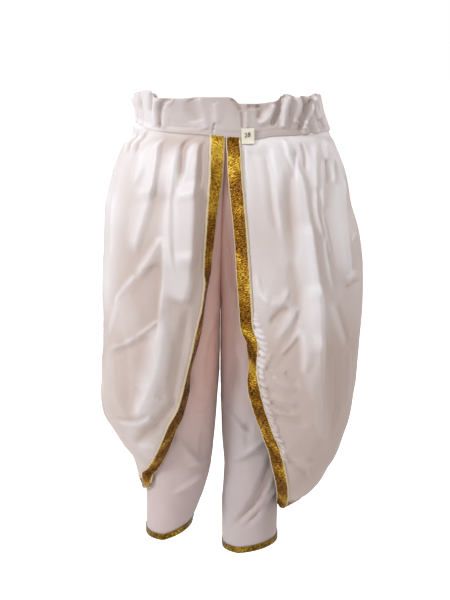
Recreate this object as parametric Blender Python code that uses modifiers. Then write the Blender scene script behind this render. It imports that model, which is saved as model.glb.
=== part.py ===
"""Ready-stitched dhoti pants for a small child, in the form they take when worn.

Two inner legs make a pair of narrow trousers. Over each leg hangs a pleated drape,
sewn in under the waistband, that opens at the front and closes round the calf.
A woven lace borders each drape and a narrower one each trouser hem.

Lengths in the tables are millimetres. +X is the wearer's left, -Y the front, +Z up.
The origin is the centre of the waist opening, half way up the band.
"""
import math

import bmesh
import bpy
import numpy as np

# ------------------------------------------------------------------ sizes
MM = 0.001
CLOTH = 1.2              # thickness of a single cloth wall
BAND_WALL = 2.6          # waistband: cloth on both faces of an elastic
LACE_WALL = 1.0
LABEL_WALL = 1.0
SEAM_GAP = 0.3           # distance kept between sewn pieces
LACE_WIDTH = 16.0
HEM_LACE_WIDTH = 8.0

CROTCH_Z = -238.0
OUTER_SQUARE = 2.15      # exponent of the outer half of every section
LEG_ROOM = 2.6           # least distance from a leg's surface to the drape's outer face
LEG_ROOM_AT_SEAM = 1.75
NEAR_SEAM = 50.0         # the room narrows over this height below the seam
ROOM_SOFTNESS = 2.2
ROOM_SOFTNESS_AT_SEAM = 0.2
BACK_FADE = 25.0         # pleats and folds flatten over this distance from the back edge

# Sections the panels are worked out from
LEVEL_STEP = 4.0
LOWEST_DRAPE_LEVEL = -508.0
LOWEST_LEG_LEVEL = -552.0
RING_POINTS = 1441
SECTION_POINTS = 361
SEAM_LEVEL = -22.0       # a height in the middle of the waist seam's range

# Rows and columns of the panels' grids
DRAPE_COLUMN_COUNT = 54
DRAPE_ROWS = (
    0.0, 0.022, 0.05, 0.085, 0.125, 0.17, 0.215, 0.26, 0.305, 0.35, 0.395, 0.44, 0.49, 0.54,
    0.6, 0.66, 0.72, 0.78, 0.85, 0.925, 1.0,
)
LEG_COLUMN_COUNT = 28
LEG_ROWS = (
    0.0, 0.03, 0.07, 0.12, 0.18, 0.25, 0.34, 0.395, 0.416, 0.5, 0.58, 0.66, 0.74, 0.82, 0.9, 1.0,
)
LEVEL_ROWS_NEAR_CROTCH = 90.0   # rows turn level within this distance of the crotch
BAND_ROWS = (0.0, 0.45, 0.94, 1.0)
LABEL_ROWS = (0.0, 0.35, 0.7, 1.0)
LABEL_COLUMN_COUNT = 4

WHITE_CLOTH = (0.86, 0.84, 0.85)
INNER_CLOTH = (0.80, 0.76, 0.74)
GOLD = (0.55, 0.34, 0.05)
CREAM_TAPE = (0.86, 0.83, 0.74)

# The line where both halves meet, front and back: height, x
CENTRE_COLUMNS = ("z", "x")
CENTRE_LINE = (
    (40, -6.5), (-25, -6.8), (-110, -11.0), (-170, -12.5), (-240, -13.3), (-300, -14.2),
    (-560, -14.2),
)

# The waist: x of its middle and of its two ends, and its half depth
WAIST = {"middle": -6.8, "right": -116.0, "left": 115.0, "deep": 77.0}

# Height of the waist seam by x, on the front and on the back half of the ring
SEAM_COLUMNS = ("x", "front", "back")
WAIST_SEAM = (
    (-125, -11.0, -11.0), (-114, -11.0, -13.0), (-95, -16.5, -18.0), (-64, -20.4, -26.0),
    (-35, -21.6, -31.0), (-7, -24.8, -34.0), (25, -26.6, -35.0), (48, -23.6, -31.0),
    (77, -23.0, -27.0), (115, -19.8, -21.0), (125, -19.0, -19.0),
)

# Sections of each inner leg.  inner, middle, outer: x of the inner side, of the deepest
# line and of the outer side.  front, back: y there.  square: exponent of the inner half.
LEG_COLUMNS = ("z", "inner", "middle", "outer", "front", "centre", "back", "square")
RIGHT_LEG = (
    (0, -6.9, -8.0, -115.2, -76.6, 0, 76.6, 20.0),
    (-25, -7.0, -8.0, -115.2, -76.6, 0, 76.6, 20.0),
    (-60, -8.5, -26, -116, -79, 0, 80, 20.0),
    (-110, -11.2, -46, -119, -78, 2, 84, 18.0),
    (-170, -12.7, -56, -120, -74, 3, 84, 12.0),
    (-235, -13.5, -61, -118, -68, 3, 76, 5.0),
    (-300, -14.5, -64, -114, -62, 2, 66, 3.2),
    (-355, -17.8, -66, -111, -57, 1, 58, 2.8),
    (-395, -21.0, -68, -109, -52, 0, 53, 2.5),
    (-421, -23.6, -69, -108, -49, 0, 50, 2.3),
    (-448, -28.6, -69, -107, -46, 0, 47, 2.2),
    (-471, -35.2, -71, -106.7, -43, 0, 44, 2.1),
    (-484, -40.0, -73.5, -106.7, -42, 0, 42.5, 2.1),
    (-508, -49.2, -78, -106.7, -41, 0, 41, 2.1),
    (-560, -51.0, -78.8, -106.7, -41, 0, 41, 2.1),
)
LEFT_LEG = (
    (0, -6.5, -5.4, 114.2, -76.6, 0, 76.6, 20.0),
    (-25, -6.6, -5.4, 114.2, -76.6, 0, 76.6, 20.0),
    (-60, -8.1, 10, 115, -79, 0, 80, 20.0),
    (-110, -10.8, 28, 118, -78, 2, 84, 18.0),
    (-170, -12.3, 36, 118, -74, 3, 84, 12.0),
    (-235, -13.1, 40, 111, -68, 3, 76, 5.0),
    (-300, -13.5, 42, 101, -62, 2, 66, 3.2),
    (-336, -13.2, 39, 93, -58, 1, 60, 2.8),
    (-381, -12.1, 34, 83, -52, 0, 53, 2.5),
    (-421, -9.6, 31, 74, -47, 0, 48, 2.3),
    (-445, -8.3, 29, 67, -43, 0, 44, 2.2),
    (-461, -10.0, 26, 62.5, -40, 0, 41, 2.1),
    (-483, -12.0, 23.6, 58.4, -37, 0, 38, 2.1),
    (-520, -11.6, 23.2, 57.8, -35, 0, 35, 2.1),
    (-560, -10.0, 23.5, 57.8, -35, 0, 35, 2.1),
)

# The seam through the crotch, by height: how far forward and back the legs stay open, as
# parts of the leg's depth
CROTCH_COLUMNS = ("z", "front", "back")
CROTCH_CURVE = (
    (0, 0.93, 0.93), (-120, 0.93, 0.93), (-165, 0.86, 0.9), (-195, 0.7, 0.78),
    (-220, 0.42, 0.52), (-232, 0.18, 0.26), (-238, 0.0, 0.0), (-560, 0.0, 0.0),
)

# Trouser hems: middle x, height there, rise for each mm of x, and how low they reach
RIGHT_HEM = {"x": -78.0, "z": -519.0, "rise": 0.36, "lowest": -521.0}
LEFT_HEM = {"x": 23.5, "z": -538.5, "rise": 0.2, "lowest": -541.5}

# Sections of each drape.  lace: x of the lace's outer line.  turn: degrees by which the
# lace strip turns back from the front.  reach: distance from middle to where the inner
# half of the section would close.
DRAPE_COLUMNS = (
    "z", "lace", "turn", "middle", "side", "reach", "front", "centre", "back", "square",
)
RIGHT_DRAPE = (
    (0, -23.5, 8, -8, -116.5, 110, -78, 0, 78, 2.1),
    (-25, -23.5, 10, -8, -117.5, 110, -78.5, 0, 78.5, 2.1),
    (-33, -23.7, 12, -14, -127.0, 110, -81, 0, 81, 2.12),
    (-45, -24.0, 16, -20, -134.0, 110, -84, 0, 84, 2.15),
    (-73, -25.0, 24, -34, -144.2, 108, -90, 0, 90, 2.2),
    (-107, -27.4, 39, -48, -151.0, 104, -96, 0, 95, 2.25),
    (-142, -30.2, 38, -60, -154.0, 100, -101, 0, 99, 2.3),
    (-178, -32.4, 38, -68, -155.6, 96, -103, 0, 102, 2.35),
    (-186, -31.2, 48, -70, -155.8, 95, -103, 0, 102, 2.35),
    (-208, -33.0, 52, -74, -156.5, 92, -103, 0, 102, 2.35),
    (-258, -43.5, 43, -80, -156.0, 86, -100, 0, 99, 2.35),
    (-298, -51.7, 50, -85, -159.0, 80, -95, 0, 93, 2.35),
    (-325, -58.6, 34, -88, -160.5, 78, -90, 0, 88, 2.3),
    (-338, -62.0, 36, -90, -161.0, 76, -87, 0, 86, 2.3),
    (-364, -75.0, 22, -92, -158.0, 70, -80, 0, 79, 2.25),
    (-383, -82.5, 26, -91, -147.5, 64, -73, 0, 73, 2.2),
    (-402, -90.5, 30, -88, -137.0, 57, -66, 0, 67, 2.2),
    (-424, -102.0, 44, -82, -122.0, 48, -57, 0, 59, 2.15),
    (-436, -110.0, 34, -79, -118.8, 45, -53, 0, 55, 2.1),
    (-448, -109.5, 12, -76, -115.3, 42, -50, 0, 52, 2.1),
    (-462, -105.5, 4, -72.5, -109.5, 38, -46, 0, 47.5, 2.1),
    (-480, -105.0, 0, -73.5, -109.0, 36, -45, 0, 46, 2.1),
)
LEFT_DRAPE = (
    (0, 8.8, 6, -5, 116.5, 118, -78, 0, 78, 2.1),
    (-25, 8.8, 8, -5, 116.5, 118, -78.5, 0, 78.5, 2.1),
    (-33, 9.1, 8, 1, 121.5, 117, -81, 0, 81, 2.12),
    (-45, 9.6, 8, 8, 126.5, 116, -84, 0, 84, 2.15),
    (-73, 11.6, 8, 24, 137.0, 114, -90, 0, 90, 2.2),
    (-107, 14.6, 6, 40, 144.0, 110, -96, 0, 95, 2.25),
    (-146, 18.0, -1, 56, 154.0, 106, -101, 0, 99, 2.3),
    (-183, 20.5, -8, 66, 158.0, 102, -104, 0, 102, 2.35),
    (-213, 22.5, -10, 72, 158.3, 100, -105, 0, 103, 2.35),
    (-240, 24.2, -11, 76, 157.8, 96, -104, 0, 101, 2.35),
    (-262, 30.8, -4, 79, 157.0, 93, -103, 0, 99, 2.35),
    (-290, 29.2, 17, 81, 155.3, 90, -100, 0, 96, 2.35),
    (-323, 34.4, -14, 81, 152.0, 86, -95, 0, 91, 2.35),
    (-348, 41.2, -8, 80, 149.6, 82, -90, 0, 86, 2.3),
    (-373, 49.5, 4, 78, 146.0, 76, -84, 0, 80, 2.25),
    (-397, 58.6, 4, 75, 138.5, 70, -77, 0, 74, 2.2),
    (-421, 64.0, 8, 71, 130.0, 63, -69, 0, 67, 2.2),
    (-437, 67.0, 18, 68, 120.5, 58, -64, 0, 61, 2.15),
    (-451, 68.8, 28, 62, 113.5, 53, -58, 0, 56, 2.1),
    (-467, 69.5, 46, 50, 100.0, 46, -51, 0, 50, 2.1),
    (-476, 69.0, 50, 42, 86.0, 42, -46, 0, 46, 2.1),
    (-485, 65.0, 24, 33, 71.5, 38, -42, 0, 42.5, 2.1),
    (-494, 57.0, 0, 24.5, 61.2, 34.5, -39, 0, 39.5, 2.1),
    (-510, 56.5, 0, 24.0, 61.0, 34.0, -38, 0, 38.5, 2.1),
)

# The waistband's sections, and the height of its top edge on its front and back half
BAND_COLUMNS = ("z", "right", "left", "front", "back")
BAND_SECTIONS = (
    (-36, -119.0, 118.0, 79.6, 79.6),
    (-20, -118.0, 116.8, 79.2, 79.2),
    (-9, -114.2, 112.6, 77.5, 77.5),
    (2, -114.6, 108.6, 76.5, 76.0),
    (14, -118.2, 105.5, 77.0, 74.5),
    (28, -119.0, 102.0, 78.0, 74.0),
)
TOP_COLUMNS = ("x", "front", "back")
BAND_TOP = (
    (-122, 13.0, 13.0), (-115, 17.0, 17.0), (-107, 25.0, 24.0), (-93, 27.5, 21.0),
    (-87, 18.5, 13.0), (-60, 18.0, 10.0), (-35, 19.8, 9.0), (-3, 19.8, 8.0), (4, 17.0, 6.5),
    (10, 12.6, 6.0), (30, 12.4, 6.0), (46, 13.8, 7.0), (60, 16.5, 9.0), (68, 23.0, 13.0),
    (76, 21.5, 15.0), (84, 18.5, 14.0), (92, 21.5, 16.0), (100, 20.5, 17.0),
    (105, 16.0, 14.0), (116, 8.0, 8.0),
)
FLAT_FRONT = (49.5, 144.8)   # degrees round the ring where the band is plain
FLAT_COLUMNS = 12
GATHERS = 28
GATHER_DEPTH = 2.3           # half the depth of a gather at the top edge
SEAM_GATHER_DEPTH = 0.9

# The size label, hung on the seam beside the lace
LABEL = {"x": 19.5, "wide": 15.5, "top": -10.0, "tall": 24.0}
LABEL_GAP = 0.6

# Lower edge of each drape: share of the way from its front edge to its back edge, height.
# The lace strip at the front edge ends at the share that follows the tables.
EDGE_COLUMNS = ("share", "z")
RIGHT_EDGE = (
    (0.0, -447), (0.04, -453), (0.09, -458), (0.2, -462), (0.45, -460), (0.75, -450), (1.0, -436),
)
LEFT_EDGE = (
    (0.0, -472), (0.03, -476), (0.08, -482), (0.2, -489), (0.45, -490), (0.75, -480), (1.0, -466),
)
LACE_END_SHARE = 0.12
BACK_EDGE_DEPTH = 0.62   # where the drape's back edge runs, as a part of the leg's depth

# Pleats sewn in at the waist, each pressed in towards the leg by "deep".  top, low: mm ahead
# of the side line at the seam and at the pleat's lower end.  end: height where it dies out.
# lean: +1 sharp side to the front.
PLEAT_COLUMNS = ("top", "low", "end", "deep", "wide", "lean")
PLEAT_SPREAD = 1.1       # a pleat's width grows by this part down to its end
SOFT_SIDE, SHARP_SIDE = 1.7, 0.7   # widths of a pleat's two sides, as parts of its width
PLEAT_GROWTH = 32.0      # height below the seam over which a pleat comes to its full depth
RIGHT_PLEATS = (
    (129, 178, -205, 5.0, 8, 1),
    (107, 156, -225, 6.0, 8, -1),
    (77, 112, -160, 6.5, 9, -1),
    (56, 74, -125, 5.5, 8, 1),
    (32, 50, -150, 6.0, 9, -1),
    (8, 14, -120, 5.0, 8, 1),
    (-16, -20, -165, 6.0, 9, -1),
    (-41, -52, -130, 5.0, 8, -1),
    (-66, -84, -185, 6.0, 9, -1),
    (-92, -118, -140, 5.0, 8, 1),
    (-117, -150, -170, 5.5, 9, -1),
)
LEFT_PLEATS = (
    (141, 178, -135, 4.5, 7, -1),
    (125, 164, -220, 5.5, 8, 1),
    (93, 112, -275, 7.0, 9, -1),
    (71, 88, -140, 5.0, 8, 1),
    (48, 50, -120, 6.0, 9, -1),
    (23, 28, -170, 5.5, 9, -1),
    (-3, -2, -130, 5.0, 8, 1),
    (-28, -34, -180, 6.0, 9, -1),
    (-55, -68, -140, 5.0, 8, -1),
    (-81, -102, -195, 6.0, 9, -1),
    (-108, -136, -150, 5.5, 9, 1),
    (-134, -170, -175, 5.0, 8, -1),
)

# Large folds of the drapes: three places on the fold's line, each as mm ahead of the side
# line and height.  deep: how far it goes in towards the leg, negative where it stands out.
FOLD_COLUMNS = ("b1", "z1", "b2", "z2", "b3", "z3", "deep", "wide")
FOLD_FADE = 0.3          # part of a fold's length over which each end dies out
RIGHT_FOLDS = (
    (136, -132, 97, -187, 62, -218, 4.5, 17),
    (128, -160, 92, -212, 60, -240, -3.0, 16),
    (142, -229, 112, -249, 10, -286, 4.0, 17),
    (160, -330, 122, -357, 76, -382, -3.5, 16),
    (122, -262, 110, -308, 88, -362, 3.0, 22),
    (-60, -180, -98, -236, -140, -262, 4.5, 18),
    (-36, -292, -86, -326, -128, -344, 4.0, 17),
    (-150, -160, -166, -236, -152, -312, 3.5, 22),
)
LEFT_FOLDS = (
    (104, -110, 100, -190, 90, -268, -4.0, 15),
    (148, -236, 168, -276, 172, -300, 3.5, 16),
    (118, -258, 104, -329, 56, -419, 4.5, 16),
    (84, -194, 60, -189, 24, -184, -3.0, 15),
    (-52, -196, -96, -228, -142, -240, 4.5, 18),
    (-70, -300, -108, -330, -150, -338, 4.0, 17),
    (-168, -150, -178, -238, -160, -320, 3.5, 22),
)


# ------------------------------------------------------------------ tables
def column(rows, names, name):
    """One named column of a table, as an array."""
    return np.array([row[names.index(name)] for row in rows], dtype=float)


def smooth(xs, ys, x):
    """Read a table with a cubic that never overshoots its rows."""
    if xs[0] > xs[-1]:
        xs, ys = xs[::-1], ys[::-1]
    step = np.diff(xs)
    rise = np.diff(ys) / step
    slope = np.zeros(len(xs))
    slope[0], slope[-1] = rise[0], rise[-1]
    same_way = rise[:-1] * rise[1:] > 0
    before, after = 2 * step[1:] + step[:-1], step[1:] + 2 * step[:-1]
    with np.errstate(divide="ignore", invalid="ignore"):
        mean = (before + after) / (before / rise[:-1] + after / rise[1:])
    slope[1:-1] = np.where(same_way, mean, 0.0)
    x = np.clip(x, xs[0], xs[-1])
    i = np.clip(np.searchsorted(xs, x, side="right") - 1, 0, len(step) - 1)
    t = (x - xs[i]) / step[i]
    return (
        ys[i] * (1 + 2 * t) * (1 - t) ** 2
        + slope[i] * step[i] * t * (1 - t) ** 2
        + ys[i + 1] * t**2 * (3 - 2 * t)
        + slope[i + 1] * step[i] * t**2 * (t - 1)
    )


def read(rows, names, name, at):
    """A named column's value at one place or an array of places."""
    return smooth(column(rows, names, names[0]), column(rows, names, name), at)


def ease(value):
    """0 below 0, 1 above 1, with soft ends."""
    value = np.clip(value, 0.0, 1.0)
    return value * value * (3.0 - 2.0 * value)


def centre_x(z):
    return read(CENTRE_LINE, CENTRE_COLUMNS, "x", z)


def on_guide(x, y):
    """The point of the waist's guide ellipse in the direction of x, y, and its backness."""
    dx = x - WAIST["middle"]
    half = np.where(dx > 0, WAIST["left"] - WAIST["middle"], WAIST["middle"] - WAIST["right"])
    scale = 1.0 / np.maximum(np.hypot(dx / half, y / WAIST["deep"]), 1e-6)
    return WAIST["middle"] + dx * scale, ease(0.5 + y * scale / WAIST["deep"])


def seam_z(x, y):
    """Height of the waist seam in the direction of x, y."""
    guide_x, back = on_guide(x, y)
    front_z = read(WAIST_SEAM, SEAM_COLUMNS, "front", guide_x)
    back_z = read(WAIST_SEAM, SEAM_COLUMNS, "back", guide_x)
    return front_z + (back_z - front_z) * back


# ------------------------------------------------------------------ sections
def ring(angle, middle, centre, inner, outer, front, back, square):
    """Points of a section round the leg.

    angle 0 is on the inner side, 90 at the front, 180 on the outer side, 270 at the back.
    inner and outer are signed half widths, front and back signed half depths.
    """
    c, s = np.cos(np.radians(angle)), np.sin(np.radians(angle))
    exponent = np.where(c > 0, 2.0 / square, 2.0 / OUTER_SQUARE)
    x = middle + np.where(c > 0, inner, outer) * np.abs(c) ** exponent
    y = centre + np.where(s > 0, front, back) * np.abs(s) ** exponent
    return x, y


def along(x, y):
    """Distance from the first point to each point."""
    return np.concatenate([[0.0], np.cumsum(np.hypot(np.diff(x), np.diff(y)))])


def resample(x, y, count):
    """The same line with its points evenly spaced."""
    run = along(x, y)
    even = np.linspace(0.0, run[-1], count)
    return np.interp(even, run, x), np.interp(even, run, y), run[-1]


class Leg:
    """An inner leg: a ring of cloth, open at the centre seam down to the crotch."""

    def __init__(self, rows, side, hem):
        self.rows = rows
        self.side = side
        self.hem = hem
        self.z = np.arange(0.0, LOWEST_LEG_LEVEL - 1.0, -LEVEL_STEP)
        self.form = {name: read(rows, LEG_COLUMNS, name, self.z) for name in LEG_COLUMNS}
        lines = [self.section(i) for i in range(len(self.z))]
        self.x = np.array([line[0] for line in lines])
        self.y = np.array([line[1] for line in lines])
        self.length = np.array([line[2] for line in lines])

    def section(self, i):
        form = {name: values[i] for name, values in self.form.items()}
        z = self.z[i]
        angle = np.linspace(0.0, 360.0, RING_POINTS)
        x, y = ring(
            angle, form["middle"], form["centre"], form["inner"] - form["middle"],
            form["outer"] - form["middle"], form["front"] - form["centre"],
            form["back"] - form["centre"], form["square"],
        )
        if z <= CROTCH_Z:
            return resample(x, y, SECTION_POINTS)
        start = read(CROTCH_CURVE, CROTCH_COLUMNS, "front", z) * form["front"]
        end = read(CROTCH_CURVE, CROTCH_COLUMNS, "back", z) * form["back"]
        keep = ~((angle < 90) & (y > start)) & ~((angle > 270) & (y < end))
        return resample(x[keep], y[keep], SECTION_POINTS)


def look_up(panel, share, z):
    """x and y at a share of the way round the section at height z."""
    level = np.clip((panel.z[0] - z) / LEVEL_STEP, 0, len(panel.z) - 1.001)
    i = level.astype(int)
    t = level - i
    place = np.clip(share, 0.0, 1.0) * (SECTION_POINTS - 1)
    j = np.minimum(place.astype(int), SECTION_POINTS - 2)
    s = place - j

    def mix(values):
        upper = values[i, j] * (1 - s) + values[i, j + 1] * s
        lower = values[i + 1, j] * (1 - s) + values[i + 1, j + 1] * s
        return upper * (1 - t) + lower * t

    return mix(panel.x), mix(panel.y)


def inward(panel, share, z):
    """Horizontal normal of a panel's section, pointing in to the leg."""
    step = 1.5 / (SECTION_POINTS - 1)
    x0, y0 = look_up(panel, share - step, z)
    x1, y1 = look_up(panel, share + step, z)
    nx, ny = (y1 - y0) * -panel.side, (x1 - x0) * panel.side
    size = np.hypot(nx, ny) + 1e-9
    return nx / size, ny / size


class Drape:
    """The pleated panel over a leg, from its laced front edge round to the back seam."""

    def __init__(self, rows, side, leg, edge):
        self.side = side
        self.leg = leg
        self.edge = edge
        self.z = np.arange(0.0, LOWEST_DRAPE_LEVEL - 1.0, -LEVEL_STEP)
        self.form = {name: read(rows, DRAPE_COLUMNS, name, self.z) for name in DRAPE_COLUMNS}
        slant = np.gradient(self.form["lace"], self.z)
        self.strip = LACE_WIDTH * np.sqrt(1.0 + np.clip(slant, -1.0, 1.0) ** 2)
        lines = [self.section(i) for i in range(len(self.z))]
        self.x = np.array([line[0] for line in lines])
        self.y = np.array([line[1] for line in lines])
        self.length = np.array([line[2] for line in lines])
        self.side_run = np.array([line[3] for line in lines])

    def section(self, i):
        form = {name: values[i] for name, values in self.form.items()}
        z = self.z[i]
        angle = np.linspace(0.0, 360.0, RING_POINTS)
        x, y = ring(
            angle, form["middle"], form["centre"], -self.side * form["reach"],
            form["side"] - form["middle"], form["front"] - form["centre"],
            form["back"] - form["centre"], form["square"],
        )
        outer = x * self.side
        front_half = outer[:RING_POINTS // 2 + 1]
        first = int(np.argmax(front_half >= form["lace"] * self.side))
        seam = (centre_x(z) + self.side * SEAM_GAP * 0.7) * self.side
        lowest = BACK_EDGE_DEPTH * read(self.leg.rows, LEG_COLUMNS, "back", z)
        after = (angle > 270) & ((outer < seam) | (y < lowest))
        last = int(np.argmax(after)) if after.any() else len(angle) - 1
        run = along(x, y)
        start = max(run[first] - self.strip[i], 0.0)
        count = int(run[last] - start) + 1
        even = np.linspace(start, run[last], count)
        x, y = np.interp(even, run, x), np.interp(even, run, y)
        x, y = self.turn_back(x, y, even - run[first], form["turn"])
        side_run = run[int(np.argmax(outer))] - start
        x, y, length = resample(x, y, SECTION_POINTS)
        return x, y, length, side_run

    def turn_back(self, x, y, from_line, turn):
        """Bend the strip ahead of the lace's outer line back towards the leg."""
        bend = ease(0.5 - from_line / (LACE_WIDTH / 2))
        angle = np.radians(turn) * bend * self.side
        dx, dy = np.diff(x), np.diff(y)
        a = 0.5 * (angle[1:] + angle[:-1])
        turned_x = dx * np.cos(a) + dy * np.sin(a)
        turned_y = dy * np.cos(a) - dx * np.sin(a)
        x = x[-1] - np.concatenate([np.cumsum(turned_x[::-1])[::-1], [0.0]])
        y = y[-1] - np.concatenate([np.cumsum(turned_y[::-1])[::-1], [0.0]])
        return x, y

    def ahead(self, share, z):
        """Distance ahead of the side line, negative behind it."""
        return at_level(self, self.side_run, z) - share * at_level(self, self.length, z)


def at_level(panel, values, z):
    """A value kept for each section of a panel, read at height z."""
    return np.interp(-np.asarray(z, dtype=float), -panel.z, values)


# ------------------------------------------------------------------ folds
def pleat_depth(ahead, z, seam, pleat):
    """How far one waist pleat presses the cloth in."""
    down = np.clip((seam - z) / (seam - pleat["end"]), 0.0, 1.0)
    middle = pleat["top"] + (pleat["low"] - pleat["top"]) * down
    wide = pleat["wide"] * (1.0 + PLEAT_SPREAD * down)
    across = (ahead - middle) / wide * pleat["lean"]
    side = np.where(across < 0.0, SOFT_SIDE, SHARP_SIDE)
    bump = ease(1.0 - np.abs(across) / side)
    grow = 0.2 + 0.8 * ease((seam - z) / PLEAT_GROWTH)
    return pleat["deep"] * bump * grow * ease((1.0 - down) * 1.6)


def fold_depth(ahead, z, fold):
    """Depth of one large fold: a soft trough or ridge along two straight runs."""
    ends = [(fold["b1"], fold["z1"]), (fold["b2"], fold["z2"]), (fold["b3"], fold["z3"])]
    lengths = [math.dist(ends[0], ends[1]), math.dist(ends[1], ends[2])]
    nearest = np.full(np.shape(z), 1e9)
    place = np.zeros(np.shape(z))
    for k in range(2):
        (bx, bz), (ex, ez) = ends[k], ends[k + 1]
        t = ((ahead - bx) * (ex - bx) + (z - bz) * (ez - bz)) / lengths[k] ** 2
        t = np.clip(t, 0.0, 1.0)
        away = np.hypot(ahead - bx - t * (ex - bx), z - bz - t * (ez - bz))
        closer = away < nearest
        nearest = np.where(closer, away, nearest)
        place = np.where(closer, (lengths[0] * k + t * lengths[k]) / sum(lengths), place)
    bump = np.clip(1.0 - (nearest / fold["wide"]) ** 2, 0.0, 1.0) ** 2
    ends = ease(place / FOLD_FADE + 0.1) * ease((1.0 - place) / FOLD_FADE + 0.1)
    return fold["deep"] * bump * ends


def relief(ahead, z, seam, pleats, folds):
    """All the pleats and folds of a drape together."""
    total = np.zeros(np.shape(z))
    for row in pleats:
        total += pleat_depth(ahead, z, seam, dict(zip(PLEAT_COLUMNS, row)))
    for row in folds:
        total += fold_depth(ahead, z, dict(zip(FOLD_COLUMNS, row)))
    return total


def clear_of_leg(leg, x, y, z, gap, soft):
    """Push points out until they lie a gap outside the leg's surface."""
    form = {name: read(leg.rows, LEG_COLUMNS, name, z) for name in LEG_COLUMNS}
    dx, dy = x - form["middle"], y - form["centre"]
    inner = dx * leg.side < 0
    half_x = np.where(inner, np.abs(form["inner"] - form["middle"]),
                      np.abs(form["outer"] - form["middle"])) + gap
    half_y = np.where(dy < 0, np.abs(form["front"] - form["centre"]),
                      np.abs(form["back"] - form["centre"])) + gap
    exponent = np.where(inner, form["square"], OUTER_SQUARE)
    size = (np.abs(dx / half_x) ** exponent + np.abs(dy / half_y) ** exponent) ** (1 / exponent)
    radius = np.hypot(dx, dy)
    limit = radius / np.maximum(size, 1e-6)
    grown = radius + soft * np.logaddexp(0.0, (limit - radius) / soft)
    scale = grown / np.maximum(radius, 1e-6)
    return form["middle"] + dx * scale, form["centre"] + dy * scale


# ------------------------------------------------------------------ grids
def seam_under(panel, share):
    """Height of the waist seam over a panel's top edge."""
    x, y = look_up(panel, share, SEAM_LEVEL)
    return seam_z(x, y)


def drape_grid(drape, pleats, folds):
    """Points of a drape's outer face: rows from the waist to the lower edge.

    Column 1 is the lace's outer line, and the last row but one its upper line.
    """
    body = np.linspace(0.0, 1.0, DRAPE_COLUMN_COUNT)
    seam_strip = at_level(drape, drape.strip, SEAM_LEVEL)
    top_strip = seam_strip / at_level(drape, drape.length, SEAM_LEVEL)
    top_share = np.concatenate([[0.0], top_strip + (1.0 - top_strip) * body])
    top = seam_under(drape, top_share) - SEAM_GAP
    share = np.concatenate([[0.0], LACE_END_SHARE + (1.0 - LACE_END_SHARE) * body])
    low = read(drape.edge, EDGE_COLUMNS, "z", share)
    run = share * at_level(drape, drape.length, low)
    slope = np.gradient(low, run)
    lace_line = low + LACE_WIDTH * np.sqrt(1.0 + np.minimum(slope**2, 1.5))
    rows = [top + f * (lace_line - top) for f in DRAPE_ROWS] + [low]
    z = np.array(rows)
    length = at_level(drape, drape.length, z)
    strip = at_level(drape, drape.strip, z)
    run = np.where(
        np.arange(len(share)) == 0, 0.0,
        strip + (length - strip) * np.concatenate([[0.0], body]),
    )
    share = run / length
    x, y = look_up(drape, share, z)
    nx, ny = inward(drape, share, z)
    depth = relief(drape.ahead(share, z), z, top, pleats, folds)
    depth = depth * ease((length - run) / BACK_FADE)
    x, y = x + nx * depth, y + ny * depth
    near = ease(1.0 - (top - z) / NEAR_SEAM)
    gap = LEG_ROOM + (LEG_ROOM_AT_SEAM - LEG_ROOM) * near
    soft = ROOM_SOFTNESS + (ROOM_SOFTNESS_AT_SEAM - ROOM_SOFTNESS) * near
    x, y = clear_of_leg(drape.leg, x, y, z, gap, soft)
    inmost = (centre_x(z) + drape.side * SEAM_GAP) * drape.side
    x = np.where(y > 0, np.maximum(x * drape.side, inmost) * drape.side, x)
    return np.stack([x, y, z], axis=-1)


def leg_grid(leg):
    """Points of a leg's outer face: rows from the waist to the hem."""
    share = np.linspace(0.0, 1.0, LEG_COLUMN_COUNT + 1)
    top = seam_under(leg, share) - 1.6 * SEAM_GAP
    hem_x, _ = look_up(leg, share, np.full(share.shape, leg.hem["z"]))
    low = leg.hem["z"] + leg.hem["rise"] * (hem_x - leg.hem["x"])
    low = np.maximum(low, leg.hem["lowest"])
    lace_line = low + HEM_LACE_WIDTH
    rows = []
    for f in LEG_ROWS:
        even = top + f * (lace_line - top)
        level = SEAM_LEVEL + f * (leg.hem["z"] + HEM_LACE_WIDTH - SEAM_LEVEL)
        flat = ease(1.0 - abs(level - CROTCH_Z) / LEVEL_ROWS_NEAR_CROTCH)
        rows.append(even + (level - even) * flat)
    z = np.array(rows + [low])
    share = np.broadcast_to(share, z.shape)
    x, y = look_up(leg, share, z)
    return np.stack([x, y, z], axis=-1)


def normals(grid, side):
    """Unit normals of a grid's points, pointing away from the leg."""
    across = np.gradient(grid, axis=1)
    down = np.gradient(grid, axis=0)
    n = np.cross(down, across) * side
    return n / (np.linalg.norm(n, axis=-1, keepdims=True) + 1e-12)


# ------------------------------------------------------------------ waistband
def band_columns():
    """Direction of each column of the band and the gathers' wave there, from -1 to 1."""
    flat = np.linspace(FLAT_FRONT[0], FLAT_FRONT[1], FLAT_COLUMNS, endpoint=False)
    quarter = np.arange(4 * GATHERS)
    pitch = 1.0 + 0.22 * np.sin(quarter * 0.61) + 0.16 * np.sin(quarter * 0.23 + 1.0)
    run = np.concatenate([[0.0], np.cumsum(pitch)])[:-1] / pitch.sum()
    gathered = FLAT_FRONT[1] + run * (360.0 - FLAT_FRONT[1] + FLAT_FRONT[0])
    size = 0.75 + 0.25 * np.sin(quarter * 0.37)
    wave = np.sin(np.radians(90.0 * quarter)) * size
    return np.concatenate([flat, gathered]), np.concatenate([np.zeros(FLAT_COLUMNS), wave])


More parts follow.
